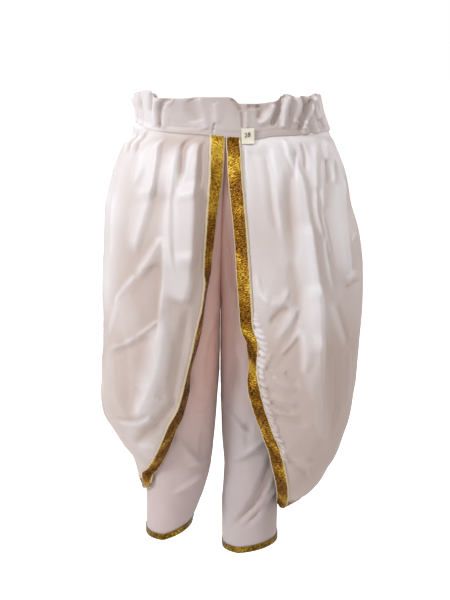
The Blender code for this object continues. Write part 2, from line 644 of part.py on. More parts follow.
def band_grid():
    """Points of the waistband's outer face, in rows from the top edge to the seam."""
    angle, wave = band_columns()
    c, s = np.cos(np.radians(angle)), np.sin(np.radians(angle))
    middle = WAIST["middle"]
    reach = np.where(c > 0, WAIST["left"] - middle, middle - WAIST["right"])
    guide_x, back = on_guide(middle + reach * c, -WAIST["deep"] * s)
    front_top = read(BAND_TOP, TOP_COLUMNS, "front", guide_x)
    top = front_top + (read(BAND_TOP, TOP_COLUMNS, "back", guide_x) - front_top) * back
    low = seam_z(middle + reach * c, -WAIST["deep"] * s)
    rows = []
    for f in BAND_ROWS:
        z = top + f * (low - top)
        # the last stretch above the seam is upright, so that its rim is level
        upright = np.maximum(z, top + BAND_ROWS[-2] * (low - top))
        form = {name: read(BAND_SECTIONS, BAND_COLUMNS, name, upright) for name in BAND_COLUMNS}
        half_x = np.where(c > 0, form["left"] - middle, middle - form["right"])
        half_y = np.where(s > 0, form["front"], form["back"])
        down = min(f / BAND_ROWS[-2], 1.0)
        lift = wave * (GATHER_DEPTH + (SEAM_GATHER_DEPTH - GATHER_DEPTH) * down)
        nx, ny = c / half_x, -s / half_y
        size = np.hypot(nx, ny)
        x = middle + half_x * c + nx / size * lift
        y = -half_y * s + ny / size * lift
        rows.append(np.stack([x, y, z], axis=-1))
    return np.array(rows)


# ------------------------------------------------------------------ label
def label_grid(band, drape):
    """Points of the label's inner face, hung in front of the band and the drape below."""
    half = LABEL["wide"] / 2
    across = np.linspace(LABEL["x"] - half, LABEL["x"] + half, LABEL_COLUMN_COUNT)
    rows = []
    for f in LABEL_ROWS:
        z = LABEL["top"] - f * LABEL["tall"]
        y = np.array([min(front_of(band, x, z), front_of(drape, x, z)) for x in across])
        rows.append(np.stack([across, y - LABEL_GAP, np.full(LABEL_COLUMN_COUNT, z)], axis=-1))
    return np.array(rows)


def front_of(grid, x, z):
    """y of a grid's front face at x and z, read along its columns."""
    places = []
    for j in range(grid.shape[1]):
        line = grid[::-1, j]
        at_y = np.interp(z, line[:, 2], line[:, 1])
        if at_y < -40.0:
            places.append((np.interp(z, line[:, 2], line[:, 0]), at_y))
    places.sort()
    xs, ys = np.array(places).T
    return np.interp(x, xs, ys)


# ------------------------------------------------------------------ objects
def material(name, colour, roughness, metallic=0.0):
    made = bpy.data.materials.new(name)
    made.use_nodes = True
    shader = made.node_tree.nodes["Principled BSDF"]
    shader.inputs["Base Color"].default_value = (*colour, 1.0)
    shader.inputs["Roughness"].default_value = roughness
    shader.inputs["Metallic"].default_value = metallic
    return made


def sheet(collection, name, grid, wall, offset, look, side=1, keep=None, join=False, closed=False):
    """A cloth wall: an open surface through a grid of points, thickened by Solidify.

    keep marks the cells that are built.  join sews the first and last columns where they
    meet.  closed makes a ring of the columns.
    """
    rows, columns = grid.shape[:2]
    bm = bmesh.new()
    verts = [[bm.verts.new(grid[i, j] * MM) for j in range(columns)] for i in range(rows)]
    for i in range(rows - 1):
        for j in range(columns if closed else columns - 1):
            if keep is not None and not keep[i, j]:
                continue
            n = (j + 1) % columns
            corners = [verts[i][j], verts[i + 1][j], verts[i + 1][n], verts[i][n]]
            if side < 0:
                corners.reverse()
            bm.faces.new((corners[0], corners[1], corners[2]))
            bm.faces.new((corners[0], corners[2], corners[3]))
    loose = [v for v in bm.verts if not v.link_faces]
    bmesh.ops.delete(bm, geom=loose, context="VERTS")
    if join:
        bmesh.ops.remove_doubles(bm, verts=bm.verts, dist=0.05 * MM)
    mesh = bpy.data.meshes.new(name)
    bm.to_mesh(mesh)
    bm.free()
    made = bpy.data.objects.new(name, mesh)
    collection.objects.link(made)
    mesh.materials.append(look)
    solid = made.modifiers.new("Cloth thickness", "SOLIDIFY")
    solid.thickness = wall * MM
    solid.offset = offset
    return made


def main():
    for old in list(bpy.data.objects):
        bpy.data.objects.remove(old, do_unlink=True)
    collection = bpy.data.collections.new("Dhoti pants")
    bpy.context.scene.collection.children.link(collection)
    halves = (
        ("right", -1, RIGHT_LEG, RIGHT_HEM, RIGHT_DRAPE, RIGHT_EDGE, RIGHT_PLEATS, RIGHT_FOLDS),
        ("left", 1, LEFT_LEG, LEFT_HEM, LEFT_DRAPE, LEFT_EDGE, LEFT_PLEATS, LEFT_FOLDS),
    )
    for name, side, leg_rows, hem, drape_rows, edge, pleats, folds in halves:
        leg = Leg(leg_rows, side, hem)
        grid = leg_grid(leg)
        satin = material(f"Inner leg satin {name}", INNER_CLOTH, 0.5)
        sheet(collection, f"inner_leg_{name}", grid, CLOTH, -1.0, satin, side, join=True)
        strip = grid[-2:] + normals(grid, side)[-2:] * SEAM_GAP
        lace = material(f"Hem lace {name}", GOLD, 0.35, 0.6)
        sheet(
            collection, f"hem_border_{name}", strip[:, :-1], LACE_WALL, 1.0, lace, side,
            closed=True,
        )
        drape = Drape(drape_rows, side, leg, edge)
        grid = drape_grid(drape, pleats, folds)
        satin = material(f"Drape satin {name}", WHITE_CLOTH, 0.45)
        sheet(collection, f"drape_{name}", grid, CLOTH, -1.0, satin, side)
        keep = np.zeros((grid.shape[0] - 1, grid.shape[1] - 1), dtype=bool)
        keep[:, 0] = True
        keep[-1, :] = True
        lace = material(f"Border lace {name}", GOLD, 0.35, 0.6)
        raised = grid + normals(grid, side) * SEAM_GAP
        sheet(collection, f"border_{name}", raised, LACE_WALL, 1.0, lace, side, keep=keep)
    band = band_grid()
    satin = material("Waistband satin", WHITE_CLOTH, 0.5)
    sheet(collection, "waistband", band, BAND_WALL, -1.0, satin, -1, closed=True)
    label = label_grid(band, grid)
    tape = material("Label tape", CREAM_TAPE, 0.6)
    sheet(collection, "size_label", label, LABEL_WALL, 1.0, tape, 1)


main()
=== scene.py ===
"""Looks of the ready-stitched dhoti pants, on the fixed frame of their solids.

White satin drapes with pleats sewn in under a gathered elastic waistband, a woven gold
lace along their edges, narrow inner legs with a narrower lace at the hems, and a small
cream size label.  Lengths in the tables are millimetres; +X is the wearer's left, -Y the
front and +Z up, from the centre of the waist opening.
"""
import math

import bmesh
import bpy
import numpy as np
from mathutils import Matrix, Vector, noise


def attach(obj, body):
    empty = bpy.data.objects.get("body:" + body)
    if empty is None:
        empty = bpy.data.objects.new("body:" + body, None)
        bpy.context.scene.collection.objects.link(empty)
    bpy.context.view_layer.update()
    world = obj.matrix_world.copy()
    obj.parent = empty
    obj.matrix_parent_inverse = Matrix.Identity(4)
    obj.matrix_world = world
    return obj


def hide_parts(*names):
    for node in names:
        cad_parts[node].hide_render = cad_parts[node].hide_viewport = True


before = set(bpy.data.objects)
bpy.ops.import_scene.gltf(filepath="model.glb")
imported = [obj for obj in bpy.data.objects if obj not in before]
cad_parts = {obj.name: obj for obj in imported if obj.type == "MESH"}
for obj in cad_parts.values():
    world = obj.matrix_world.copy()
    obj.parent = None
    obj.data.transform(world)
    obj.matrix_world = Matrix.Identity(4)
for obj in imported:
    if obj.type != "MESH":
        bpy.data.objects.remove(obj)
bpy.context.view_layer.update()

# ------------------------------------------------------------------ sizes
MM = 0.001
BAND_WALL = 2.4          # cloth on both faces of the elastic
SATIN_THICKNESS = 0.6
LACE_THICKNESS = 0.7
SEAM_GAP = 0.3
BACK_GAP = SEAM_GAP * 0.7    # from the centre line to each drape's back edge
LACE_WIDTH = 16.0
HEM_LACE_WIDTH = 8.0

CROTCH_Z = -238.0
OUTER_SQUARE = 2.15      # exponent of the outer half of every section
LEG_ROOM = 2.6           # least distance from a leg's surface to the drape's outer face
LEG_ROOM_AT_SEAM = 1.75
NEAR_SEAM = 50.0         # the room narrows over this height below the seam
ROOM_SOFTNESS = 2.2
ROOM_SOFTNESS_AT_SEAM = 0.2
BACK_FADE = 25.0         # pleats and folds flatten over this distance from the back edge

# Sections the panels are worked out from
LEVEL_STEP = 4.0
LOWEST_DRAPE_LEVEL = -508.0
LOWEST_LEG_LEVEL = -552.0
RING_POINTS = 1441
SECTION_POINTS = 361
NORMAL_POINTS = 1.5      # a normal is read over this many points to each side
SEAM_LEVEL = -22.0       # a height in the middle of the waist seam's range
LEVEL_ROWS_NEAR_CROTCH = 90.0   # a leg's rows run level over this height round the crotch

# The line where both halves meet, front and back: height, x
CENTRE_COLUMNS = ("z", "x")
CENTRE_LINE = (
    (40, -6.5), (-25, -6.8), (-110, -11.0), (-170, -12.5), (-240, -13.3), (-300, -14.2),
    (-560, -14.2),
)

# The waist: x of its middle and of its two ends, and its half depth
WAIST = {"middle": -6.8, "right": -116.0, "left": 115.0, "deep": 77.0}

# Height of the waist seam by x, on the front and on the back half of the ring
SEAM_COLUMNS = ("x", "front", "back")
WAIST_SEAM = (
    (-125, -11.0, -11.0), (-114, -11.0, -13.0), (-95, -16.5, -18.0), (-64, -20.4, -26.0),
    (-35, -21.6, -31.0), (-7, -24.8, -34.0), (25, -26.6, -35.0), (48, -23.6, -31.0),
    (77, -23.0, -27.0), (115, -19.8, -21.0), (125, -19.0, -19.0),
)

# Sections of each inner leg.  inner, middle, outer: x of the inner side, of the deepest
# line and of the outer side.  front, back: y there.  square: exponent of the inner half.
LEG_COLUMNS = ("z", "inner", "middle", "outer", "front", "centre", "back", "square")
RIGHT_LEG = (
    (0, -6.9, -8.0, -115.2, -76.6, 0, 76.6, 20.0),
    (-25, -7.0, -8.0, -115.2, -76.6, 0, 76.6, 20.0),
    (-60, -8.5, -26, -116, -79, 0, 80, 20.0),
    (-110, -11.2, -46, -119, -78, 2, 84, 18.0),
    (-170, -12.7, -56, -120, -74, 3, 84, 12.0),
    (-235, -13.5, -61, -118, -68, 3, 76, 5.0),
    (-300, -14.5, -64, -114, -62, 2, 66, 3.2),
    (-355, -17.8, -66, -111, -57, 1, 58, 2.8),
    (-395, -21.0, -68, -109, -52, 0, 53, 2.5),
    (-421, -23.6, -69, -108, -49, 0, 50, 2.3),
    (-448, -28.6, -69, -107, -46, 0, 47, 2.2),
    (-471, -35.2, -71, -106.7, -43, 0, 44, 2.1),
    (-484, -40.0, -73.5, -106.7, -42, 0, 42.5, 2.1),
    (-508, -49.2, -78, -106.7, -41, 0, 41, 2.1),
    (-560, -51.0, -78.8, -106.7, -41, 0, 41, 2.1),
)
LEFT_LEG = (
    (0, -6.5, -5.4, 114.2, -76.6, 0, 76.6, 20.0),
    (-25, -6.6, -5.4, 114.2, -76.6, 0, 76.6, 20.0),
    (-60, -8.1, 10, 115, -79, 0, 80, 20.0),
    (-110, -10.8, 28, 118, -78, 2, 84, 18.0),
    (-170, -12.3, 36, 118, -74, 3, 84, 12.0),
    (-235, -13.1, 40, 111, -68, 3, 76, 5.0),
    (-300, -13.5, 42, 101, -62, 2, 66, 3.2),
    (-336, -13.2, 39, 93, -58, 1, 60, 2.8),
    (-381, -12.1, 34, 83, -52, 0, 53, 2.5),
    (-421, -9.6, 31, 74, -47, 0, 48, 2.3),
    (-445, -8.3, 29, 67, -43, 0, 44, 2.2),
    (-461, -10.0, 26, 62.5, -40, 0, 41, 2.1),
    (-483, -12.0, 23.6, 58.4, -37, 0, 38, 2.1),
    (-520, -11.6, 23.2, 57.8, -35, 0, 35, 2.1),
    (-560, -10.0, 23.5, 57.8, -35, 0, 35, 2.1),
)

# The seam through the crotch, by height: how far forward and back the legs stay open, as
# parts of the leg's depth
CROTCH_COLUMNS = ("z", "front", "back")
CROTCH_CURVE = (
    (0, 0.93, 0.93), (-120, 0.93, 0.93), (-165, 0.86, 0.9), (-195, 0.7, 0.78),
    (-220, 0.42, 0.52), (-232, 0.18, 0.26), (-238, 0.0, 0.0), (-560, 0.0, 0.0),
)

# Trouser hems: middle x, height there, rise for each mm of x
RIGHT_HEM = {"x": -78.0, "z": -519.0, "rise": 0.36, "lowest": -521.0}
LEFT_HEM = {"x": 23.5, "z": -538.5, "rise": 0.2, "lowest": -541.5}

# Sections of each drape.  lace: x of the lace's outer line.  turn: degrees by which the
# lace strip turns back from the front.  reach: distance from middle to where the inner
# half of the section would close.
DRAPE_COLUMNS = (
    "z", "lace", "turn", "middle", "side", "reach", "front", "centre", "back", "square",
)
RIGHT_DRAPE = (
    (0, -23.5, 8, -8, -116.5, 110, -78, 0, 78, 2.1),
    (-25, -23.5, 10, -8, -117.5, 110, -78.5, 0, 78.5, 2.1),
    (-33, -23.7, 12, -14, -127.0, 110, -81, 0, 81, 2.12),
    (-45, -24.0, 16, -20, -134.0, 110, -84, 0, 84, 2.15),
    (-73, -25.0, 24, -34, -144.2, 108, -90, 0, 90, 2.2),
    (-107, -27.4, 39, -48, -151.0, 104, -96, 0, 95, 2.25),
    (-142, -30.2, 38, -60, -154.0, 100, -101, 0, 99, 2.3),
    (-178, -32.4, 38, -68, -155.6, 96, -103, 0, 102, 2.35),
    (-186, -31.2, 48, -70, -155.8, 95, -103, 0, 102, 2.35),
    (-208, -33.0, 52, -74, -156.5, 92, -103, 0, 102, 2.35),
    (-258, -43.5, 43, -80, -156.0, 86, -100, 0, 99, 2.35),
    (-298, -51.7, 50, -85, -159.0, 80, -95, 0, 93, 2.35),
    (-325, -58.6, 34, -88, -160.5, 78, -90, 0, 88, 2.3),
    (-338, -62.0, 36, -90, -161.0, 76, -87, 0, 86, 2.3),
    (-364, -75.0, 22, -92, -158.0, 70, -80, 0, 79, 2.25),
    (-383, -82.5, 26, -91, -147.5, 64, -73, 0, 73, 2.2),
    (-402, -90.5, 30, -88, -137.0, 57, -66, 0, 67, 2.2),
    (-424, -102.0, 44, -82, -122.0, 48, -57, 0, 59, 2.15),
    (-436, -110.0, 34, -79, -118.8, 45, -53, 0, 55, 2.1),
    (-448, -109.5, 12, -76, -115.3, 42, -50, 0, 52, 2.1),
    (-462, -105.5, 4, -72.5, -109.5, 38, -46, 0, 47.5, 2.1),
    (-480, -105.0, 0, -73.5, -109.0, 36, -45, 0, 46, 2.1),
)
LEFT_DRAPE = (
    (0, 8.8, 6, -5, 116.5, 118, -78, 0, 78, 2.1),
    (-25, 8.8, 8, -5, 116.5, 118, -78.5, 0, 78.5, 2.1),
    (-33, 9.1, 8, 1, 121.5, 117, -81, 0, 81, 2.12),
    (-45, 9.6, 8, 8, 126.5, 116, -84, 0, 84, 2.15),
    (-73, 11.6, 8, 24, 137.0, 114, -90, 0, 90, 2.2),
    (-107, 14.6, 6, 40, 144.0, 110, -96, 0, 95, 2.25),
    (-146, 18.0, -1, 56, 154.0, 106, -101, 0, 99, 2.3),
    (-183, 20.5, -8, 66, 158.0, 102, -104, 0, 102, 2.35),
    (-213, 22.5, -10, 72, 158.3, 100, -105, 0, 103, 2.35),
    (-240, 24.2, -11, 76, 157.8, 96, -104, 0, 101, 2.35),
    (-262, 30.8, -4, 79, 157.0, 93, -103, 0, 99, 2.35),
    (-290, 29.2, 17, 81, 155.3, 90, -100, 0, 96, 2.35),
    (-323, 34.4, -14, 81, 152.0, 86, -95, 0, 91, 2.35),
    (-348, 41.2, -8, 80, 149.6, 82, -90, 0, 86, 2.3),
    (-373, 49.5, 4, 78, 146.0, 76, -84, 0, 80, 2.25),
    (-397, 58.6, 4, 75, 138.5, 70, -77, 0, 74, 2.2),
    (-421, 64.0, 8, 71, 130.0, 63, -69, 0, 67, 2.2),
    (-437, 67.0, 18, 68, 120.5, 58, -64, 0, 61, 2.15),
    (-451, 68.8, 28, 62, 113.5, 53, -58, 0, 56, 2.1),
    (-467, 69.5, 46, 50, 100.0, 46, -51, 0, 50, 2.1),
    (-476, 69.0, 50, 42, 86.0, 42, -46, 0, 46, 2.1),
    (-485, 65.0, 24, 33, 71.5, 38, -42, 0, 42.5, 2.1),
    (-494, 57.0, 0, 24.5, 61.2, 34.5, -39, 0, 39.5, 2.1),
    (-510, 56.5, 0, 24.0, 61.0, 34.0, -38, 0, 38.5, 2.1),
)

# The waistband's sections, and the height of its top edge on its front and back half
BAND_COLUMNS = ("z", "right", "left", "front", "back")
BAND_SECTIONS = (
    (-36, -119.0, 118.0, 79.6, 79.6),
    (-20, -118.0, 116.8, 79.2, 79.2),
    (-9, -114.2, 112.6, 77.5, 77.5),
    (2, -114.6, 108.6, 76.5, 76.0),
    (14, -118.2, 105.5, 77.0, 74.5),
    (28, -119.0, 102.0, 78.0, 74.0),
)
TOP_COLUMNS = ("x", "front", "back")
BAND_TOP = (
    (-122, 13.0, 13.0), (-115, 17.0, 17.0), (-107, 25.0, 24.0), (-93, 27.5, 21.0),
    (-87, 18.5, 13.0), (-60, 18.0, 10.0), (-35, 19.8, 9.0), (-3, 19.8, 8.0), (4, 17.0, 6.5),
    (10, 12.6, 6.0), (30, 12.4, 6.0), (46, 13.8, 7.0), (60, 16.5, 9.0), (68, 23.0, 13.0),
    (76, 21.5, 15.0), (84, 18.5, 14.0), (92, 20.5, 16.0), (98, 18.5, 17.0),
    (105, 21.5, 18.0), (110, 23.0, 19.0), (116, 22.0, 20.0),
)
FLAT_FRONT = (49.5, 144.8)   # degrees round the ring where the band is plain
GATHERS = 28
GATHER_DEPTH = 2.3           # half the depth of a gather at the top edge
SEAM_GATHER_DEPTH = 0.9

# The size label, hung on the seam beside the lace
LABEL = {"x": 18.1, "wide": 14.8, "top": -15.0, "tall": 17.6}

# Lower edge of each drape: share of the way from its front edge to its back edge, height.
# The lace strip at the front edge ends at the share that follows the tables.
EDGE_COLUMNS = ("share", "z")
RIGHT_EDGE = (
    (0.0, -447), (0.04, -453), (0.09, -458), (0.2, -462), (0.45, -460), (0.75, -450), (1.0, -436),
)
LEFT_EDGE = (
    (0.0, -472), (0.03, -476), (0.08, -482), (0.2, -489), (0.45, -490), (0.75, -480), (1.0, -466),
)
LACE_END_SHARE = 0.12
BACK_EDGE_DEPTH = 0.62   # where the drape's back edge runs, as a part of the leg's depth

# Pleats sewn in at the waist.  top, low: mm ahead of the side line at the seam and at the
# pleat's lower end.  end: height where it dies out.  deep: how far it is pressed in.
# lean: +1 sharp side to the front.
PLEAT_COLUMNS = ("top", "low", "end", "deep", "wide", "lean")
PLEAT_SPREAD = 1.1       # a pleat's width grows by this part down to its end
SOFT_SIDE, SHARP_SIDE = 1.7, 0.7   # widths of a pleat's two sides, as parts of its width
FRONT_PLEATS, HIDDEN_PLEATS = 0.15, 0.8   # parts of these depths that are used: in front
                                          # the creases below shape the pleats
FRONT_FROM, FRONT_OVER = 20.0, -30.0      # ahead of the side line, where the front begins
PLEAT_PRESS = 0.75       # 0 for a round pleat, 1 for one pressed flat
PLEAT_GROWTH = 22.0      # height below the seam over which a pleat comes to its full depth
PLEAT_AT_SEAM = 0.2      # part of its depth that it has at the seam
PLEAT_RUN_OUT = 1.6      # how suddenly it dies out
RIGHT_PLEATS = (
    (129, 178, -205, 5.0, 8, 1),
    (107, 156, -225, 6.0, 8, -1),
    (77, 112, -160, 6.5, 9, -1),
    (56, 74, -125, 5.5, 8, 1),
    (32, 50, -150, 6.0, 9, -1),
    (8, 14, -120, 5.0, 8, 1),
    (-16, -20, -165, 6.0, 9, -1),
    (-41, -52, -130, 5.0, 8, -1),
    (-66, -84, -185, 6.0, 9, -1),
    (-92, -118, -140, 5.0, 8, 1),
    (-117, -150, -170, 5.5, 9, -1),
)
LEFT_PLEATS = (
    (141, 178, -135, 4.5, 7, -1),
    (125, 164, -220, 5.5, 8, 1),
    (93, 112, -275, 7.0, 9, -1),
    (71, 88, -140, 5.0, 8, 1),
    (48, 50, -120, 6.0, 9, -1),
    (23, 28, -170, 5.5, 9, -1),
    (-3, -2, -130, 5.0, 8, 1),
    (-28, -34, -180, 6.0, 9, -1),
    (-55, -68, -140, 5.0, 8, -1),
    (-81, -102, -195, 6.0, 9, -1),
    (-108, -136, -150, 5.5, 9, 1),
    (-134, -170, -175, 5.0, 8, -1),
)

# Large folds of the drapes: three places on the fold's line, each as mm ahead of the side
# line and height.  deep is how far it is pressed in, negative for a ridge.
FOLD_COLUMNS = ("b1", "z1", "b2", "z2", "b3", "z3", "deep", "wide")
FOLD_FADE = 0.3          # part of a fold's length over which each end dies out
FOLD_END = 0.1           # what is left of the fade at the very end
RIGHT_FOLDS = (
    (136, -132, 97, -187, 62, -218, 4.5, 17),
    (128, -160, 92, -212, 60, -240, -3.0, 16),
    (142, -229, 112, -249, 10, -286, 4.0, 17),
    (160, -330, 122, -357, 76, -382, -3.5, 16),
    (122, -262, 110, -308, 88, -362, 3.0, 22),
    (-60, -180, -98, -236, -140, -262, 4.5, 18),
    (-36, -292, -86, -326, -128, -344, 4.0, 17),
    (-150, -160, -166, -236, -152, -312, 3.5, 22),
)
LEFT_FOLDS = (
    (104, -110, 100, -190, 90, -268, -4.0, 15),
    (148, -236, 168, -276, 172, -300, 3.5, 16),
    (118, -258, 104, -329, 56, -419, 4.5, 16),
    (84, -194, 60, -189, 24, -184, -3.0, 15),
    (-52, -196, -96, -228, -142, -240, 4.5, 18),
    (-70, -300, -108, -330, -150, -338, 4.0, 17),
    (-168, -150, -178, -238, -160, -320, 3.5, 22),
)


# ------------------------------------------------------------------ tables
def column(rows, names, name):
    """One named column of a table, as an array."""
    return np.array([row[names.index(name)] for row in rows], dtype=float)


def smooth(xs, ys, x):
    """Read a table with a cubic that never overshoots its rows."""
    if xs[0] > xs[-1]:
        xs, ys = xs[::-1], ys[::-1]
    step = np.diff(xs)
    rise = np.diff(ys) / step
    slope = np.zeros(len(xs))
    slope[0], slope[-1] = rise[0], rise[-1]
    same_way = rise[:-1] * rise[1:] > 0
    before, after = 2 * step[1:] + step[:-1], step[1:] + 2 * step[:-1]
    with np.errstate(divide="ignore", invalid="ignore"):
        mean = (before + after) / (before / rise[:-1] + after / rise[1:])
    slope[1:-1] = np.where(same_way, mean, 0.0)
    x = np.clip(x, xs[0], xs[-1])
    i = np.clip(np.searchsorted(xs, x, side="right") - 1, 0, len(step) - 1)
    t = (x - xs[i]) / step[i]
    return (
        ys[i] * (1 + 2 * t) * (1 - t) ** 2
        + slope[i] * step[i] * t * (1 - t) ** 2
        + ys[i + 1] * t**2 * (3 - 2 * t)
        + slope[i + 1] * step[i] * t**2 * (t - 1)
    )


def read(rows, names, name, at):
    """A named column's value at one place or an array of places."""
    return smooth(column(rows, names, names[0]), column(rows, names, name), at)


def ease(value):
    """0 below 0, 1 above 1, with soft ends."""
    value = np.clip(value, 0.0, 1.0)
    return value * value * (3.0 - 2.0 * value)


def past(value, start, over):
    """0 up to start and 1 from over past it; a negative over runs downwards."""
    return ease((value - start) / over)


def centre_x(z):
    return read(CENTRE_LINE, CENTRE_COLUMNS, "x", z)


def on_guide(x, y):
    """The point of the waist's guide ellipse in the direction of x, y, and its backness."""
    dx = x - WAIST["middle"]
    half = np.where(dx > 0, WAIST["left"] - WAIST["middle"], WAIST["middle"] - WAIST["right"])
    scale = 1.0 / np.maximum(np.hypot(dx / half, y / WAIST["deep"]), 1e-6)
    return WAIST["middle"] + dx * scale, ease(0.5 + y * scale / WAIST["deep"])


def seam_z(x, y):
    """Height of the waist seam in the direction of x, y."""
    guide_x, back = on_guide(x, y)
    front_z = read(WAIST_SEAM, SEAM_COLUMNS, "front", guide_x)
    back_z = read(WAIST_SEAM, SEAM_COLUMNS, "back", guide_x)
    return front_z + (back_z - front_z) * back


# ------------------------------------------------------------------ sections
def ring(angle, middle, centre, inner, outer, front, back, square):
    """Points of a section round the leg.

    angle 0 is on the inner side, 90 at the front, 180 on the outer side, 270 at the back.
    inner and outer are signed half widths, front and back signed half depths.
    """
    c, s = np.cos(np.radians(angle)), np.sin(np.radians(angle))
    exponent = np.where(c > 0, 2.0 / square, 2.0 / OUTER_SQUARE)
    x = middle + np.where(c > 0, inner, outer) * np.abs(c) ** exponent
    y = centre + np.where(s > 0, front, back) * np.abs(s) ** exponent
    return x, y


def along(x, y):
    """Distance from the first point to each point."""
    return np.concatenate([[0.0], np.cumsum(np.hypot(np.diff(x), np.diff(y)))])


def resample(x, y, count):
    """The same line with its points evenly spaced."""
    run = along(x, y)
    even = np.linspace(0.0, run[-1], count)
    return np.interp(even, run, x), np.interp(even, run, y), run[-1]


class Leg:
    """An inner leg: a ring of cloth, open at the centre seam down to the crotch."""

    def __init__(self, cut):
        self.rows, self.hem, self.creases = cut["leg"], cut["hem"], cut["leg_creases"]
        self.side, self.seed = cut["side"], cut["seed"]
        self.z = np.arange(0.0, LOWEST_LEG_LEVEL - 1.0, -LEVEL_STEP)
        self.form = {name: read(self.rows, LEG_COLUMNS, name, self.z) for name in LEG_COLUMNS}
        lines = zip(*(self.section(i) for i in range(len(self.z))))
        self.x, self.y, self.length = (np.array(values) for values in lines)

    def section(self, i):
        form = {name: values[i] for name, values in self.form.items()}
        z = self.z[i]
        angle = np.linspace(0.0, 360.0, RING_POINTS)
        x, y = ring(
            angle, form["middle"], form["centre"], form["inner"] - form["middle"],
            form["outer"] - form["middle"], form["front"] - form["centre"],
            form["back"] - form["centre"], form["square"],
        )
        if z <= CROTCH_Z:
            return resample(x, y, SECTION_POINTS)
        start = read(CROTCH_CURVE, CROTCH_COLUMNS, "front", z) * form["front"]
        end = read(CROTCH_CURVE, CROTCH_COLUMNS, "back", z) * form["back"]
        keep = ~((angle < 90) & (y > start)) & ~((angle > 270) & (y < end))
        return resample(x[keep], y[keep], SECTION_POINTS)


def look_up(panel, share, z):
    """x and y at a share of the way round the section at height z."""
    level = np.clip((panel.z[0] - z) / LEVEL_STEP, 0, len(panel.z) - 1.001)
    i = level.astype(int)
    t = level - i
    place = np.clip(share, 0.0, 1.0) * (SECTION_POINTS - 1)
    j = np.minimum(place.astype(int), SECTION_POINTS - 2)
    s = place - j

    def mix(values):
        upper = values[i, j] * (1 - s) + values[i, j + 1] * s
        lower = values[i + 1, j] * (1 - s) + values[i + 1, j + 1] * s
        return upper * (1 - t) + lower * t

    return mix(panel.x), mix(panel.y)


def outward(panel, share, z):
    """Horizontal normal of a panel's section, pointing away from the leg."""
    step = NORMAL_POINTS / (SECTION_POINTS - 1)
    x0, y0 = look_up(panel, share - step, z)
    x1, y1 = look_up(panel, share + step, z)
    nx, ny = (y1 - y0) * panel.side, (x0 - x1) * panel.side
    size = np.hypot(nx, ny) + 1e-9
    return nx / size, ny / size


class Drape:
    """The pleated panel over a leg, from its laced front edge round to the back seam."""

    def __init__(self, leg, cut):
        self.leg, self.edge = leg, cut["edge"]
        self.pleats, self.folds, self.creases = cut["pleats"], cut["folds"], cut["creases"]
        self.side, self.seed = cut["side"], cut["seed"]
        self.z = np.arange(0.0, LOWEST_DRAPE_LEVEL - 1.0, -LEVEL_STEP)
        self.form = {
            name: read(cut["drape"], DRAPE_COLUMNS, name, self.z) for name in DRAPE_COLUMNS
        }
        slant = np.gradient(self.form["lace"], self.z)
        self.strip = LACE_WIDTH * np.sqrt(1.0 + np.clip(slant, -1.0, 1.0) ** 2)
        lines = zip(*(self.section(i) for i in range(len(self.z))))
        self.x, self.y, self.length, self.side_run = (np.array(values) for values in lines)

    def section(self, i):
        form = {name: values[i] for name, values in self.form.items()}
        z = self.z[i]
        angle = np.linspace(0.0, 360.0, RING_POINTS)
        x, y = ring(
            angle, form["middle"], form["centre"], -self.side * form["reach"],
            form["side"] - form["middle"], form["front"] - form["centre"],
            form["back"] - form["centre"], form["square"],
        )
        outer = x * self.side
        front_half = outer[:RING_POINTS // 2 + 1]
        first = int(np.argmax(front_half >= form["lace"] * self.side))
        seam = (centre_x(z) + self.side * BACK_GAP) * self.side
        lowest = BACK_EDGE_DEPTH * read(self.leg.rows, LEG_COLUMNS, "back", z)
        after = (angle > 270) & ((outer < seam) | (y < lowest))
        last = int(np.argmax(after)) if after.any() else len(angle) - 1
        run = along(x, y)
        start = max(run[first] - self.strip[i], 0.0)
        count = int(run[last] - start) + 1
        even = np.linspace(start, run[last], count)
        x, y = np.interp(even, run, x), np.interp(even, run, y)
        x, y = self.turn_back(x, y, even - run[first], form["turn"])
        side_run = run[int(np.argmax(outer))] - start
        x, y, length = resample(x, y, SECTION_POINTS)
        return x, y, length, side_run

    def turn_back(self, x, y, from_line, turn):
        """Bend the strip ahead of the lace's outer line back towards the leg."""
        bend = ease(0.5 - from_line / (LACE_WIDTH / 2))
        angle = np.radians(turn) * bend * self.side
        dx, dy = np.diff(x), np.diff(y)
        a = 0.5 * (angle[1:] + angle[:-1])
        turned_x = dx * np.cos(a) + dy * np.sin(a)
        turned_y = dy * np.cos(a) - dx * np.sin(a)
        x = x[-1] - np.concatenate([np.cumsum(turned_x[::-1])[::-1], [0.0]])
        y = y[-1] - np.concatenate([np.cumsum(turned_y[::-1])[::-1], [0.0]])
        return x, y

    def ahead(self, share, z):
        """Distance ahead of the side line, negative behind it."""
        return at_level(self, self.side_run, z) - share * at_level(self, self.length, z)


def at_level(panel, values, z):
    """A value kept for each section of a panel, read at height z."""
    return np.interp(-np.asarray(z, dtype=float), -panel.z, values)


# ------------------------------------------------------------------ folds
def pleat_depth(ahead, z, seam, pleat):
    """How far one waist pleat is pressed in."""
    down = np.clip((seam - z) / (seam - pleat["end"]), 0.0, 1.0)
    middle = pleat["top"] + (pleat["low"] - pleat["top"]) * down
    wide = pleat["wide"] * (1.0 + PLEAT_SPREAD * down)
    across = (ahead - middle) / wide * pleat["lean"]
    side = np.where(across < 0.0, SOFT_SIDE, SHARP_SIDE)
    near = np.clip(1.0 - np.abs(across) / side, 0.0, 1.0)
    bump = ease(near) + (near - ease(near)) * PLEAT_PRESS
    grow = PLEAT_AT_SEAM + (1.0 - PLEAT_AT_SEAM) * ease((seam - z) / PLEAT_GROWTH)
    return pleat["deep"] * bump * grow * ease((1.0 - down) * PLEAT_RUN_OUT)


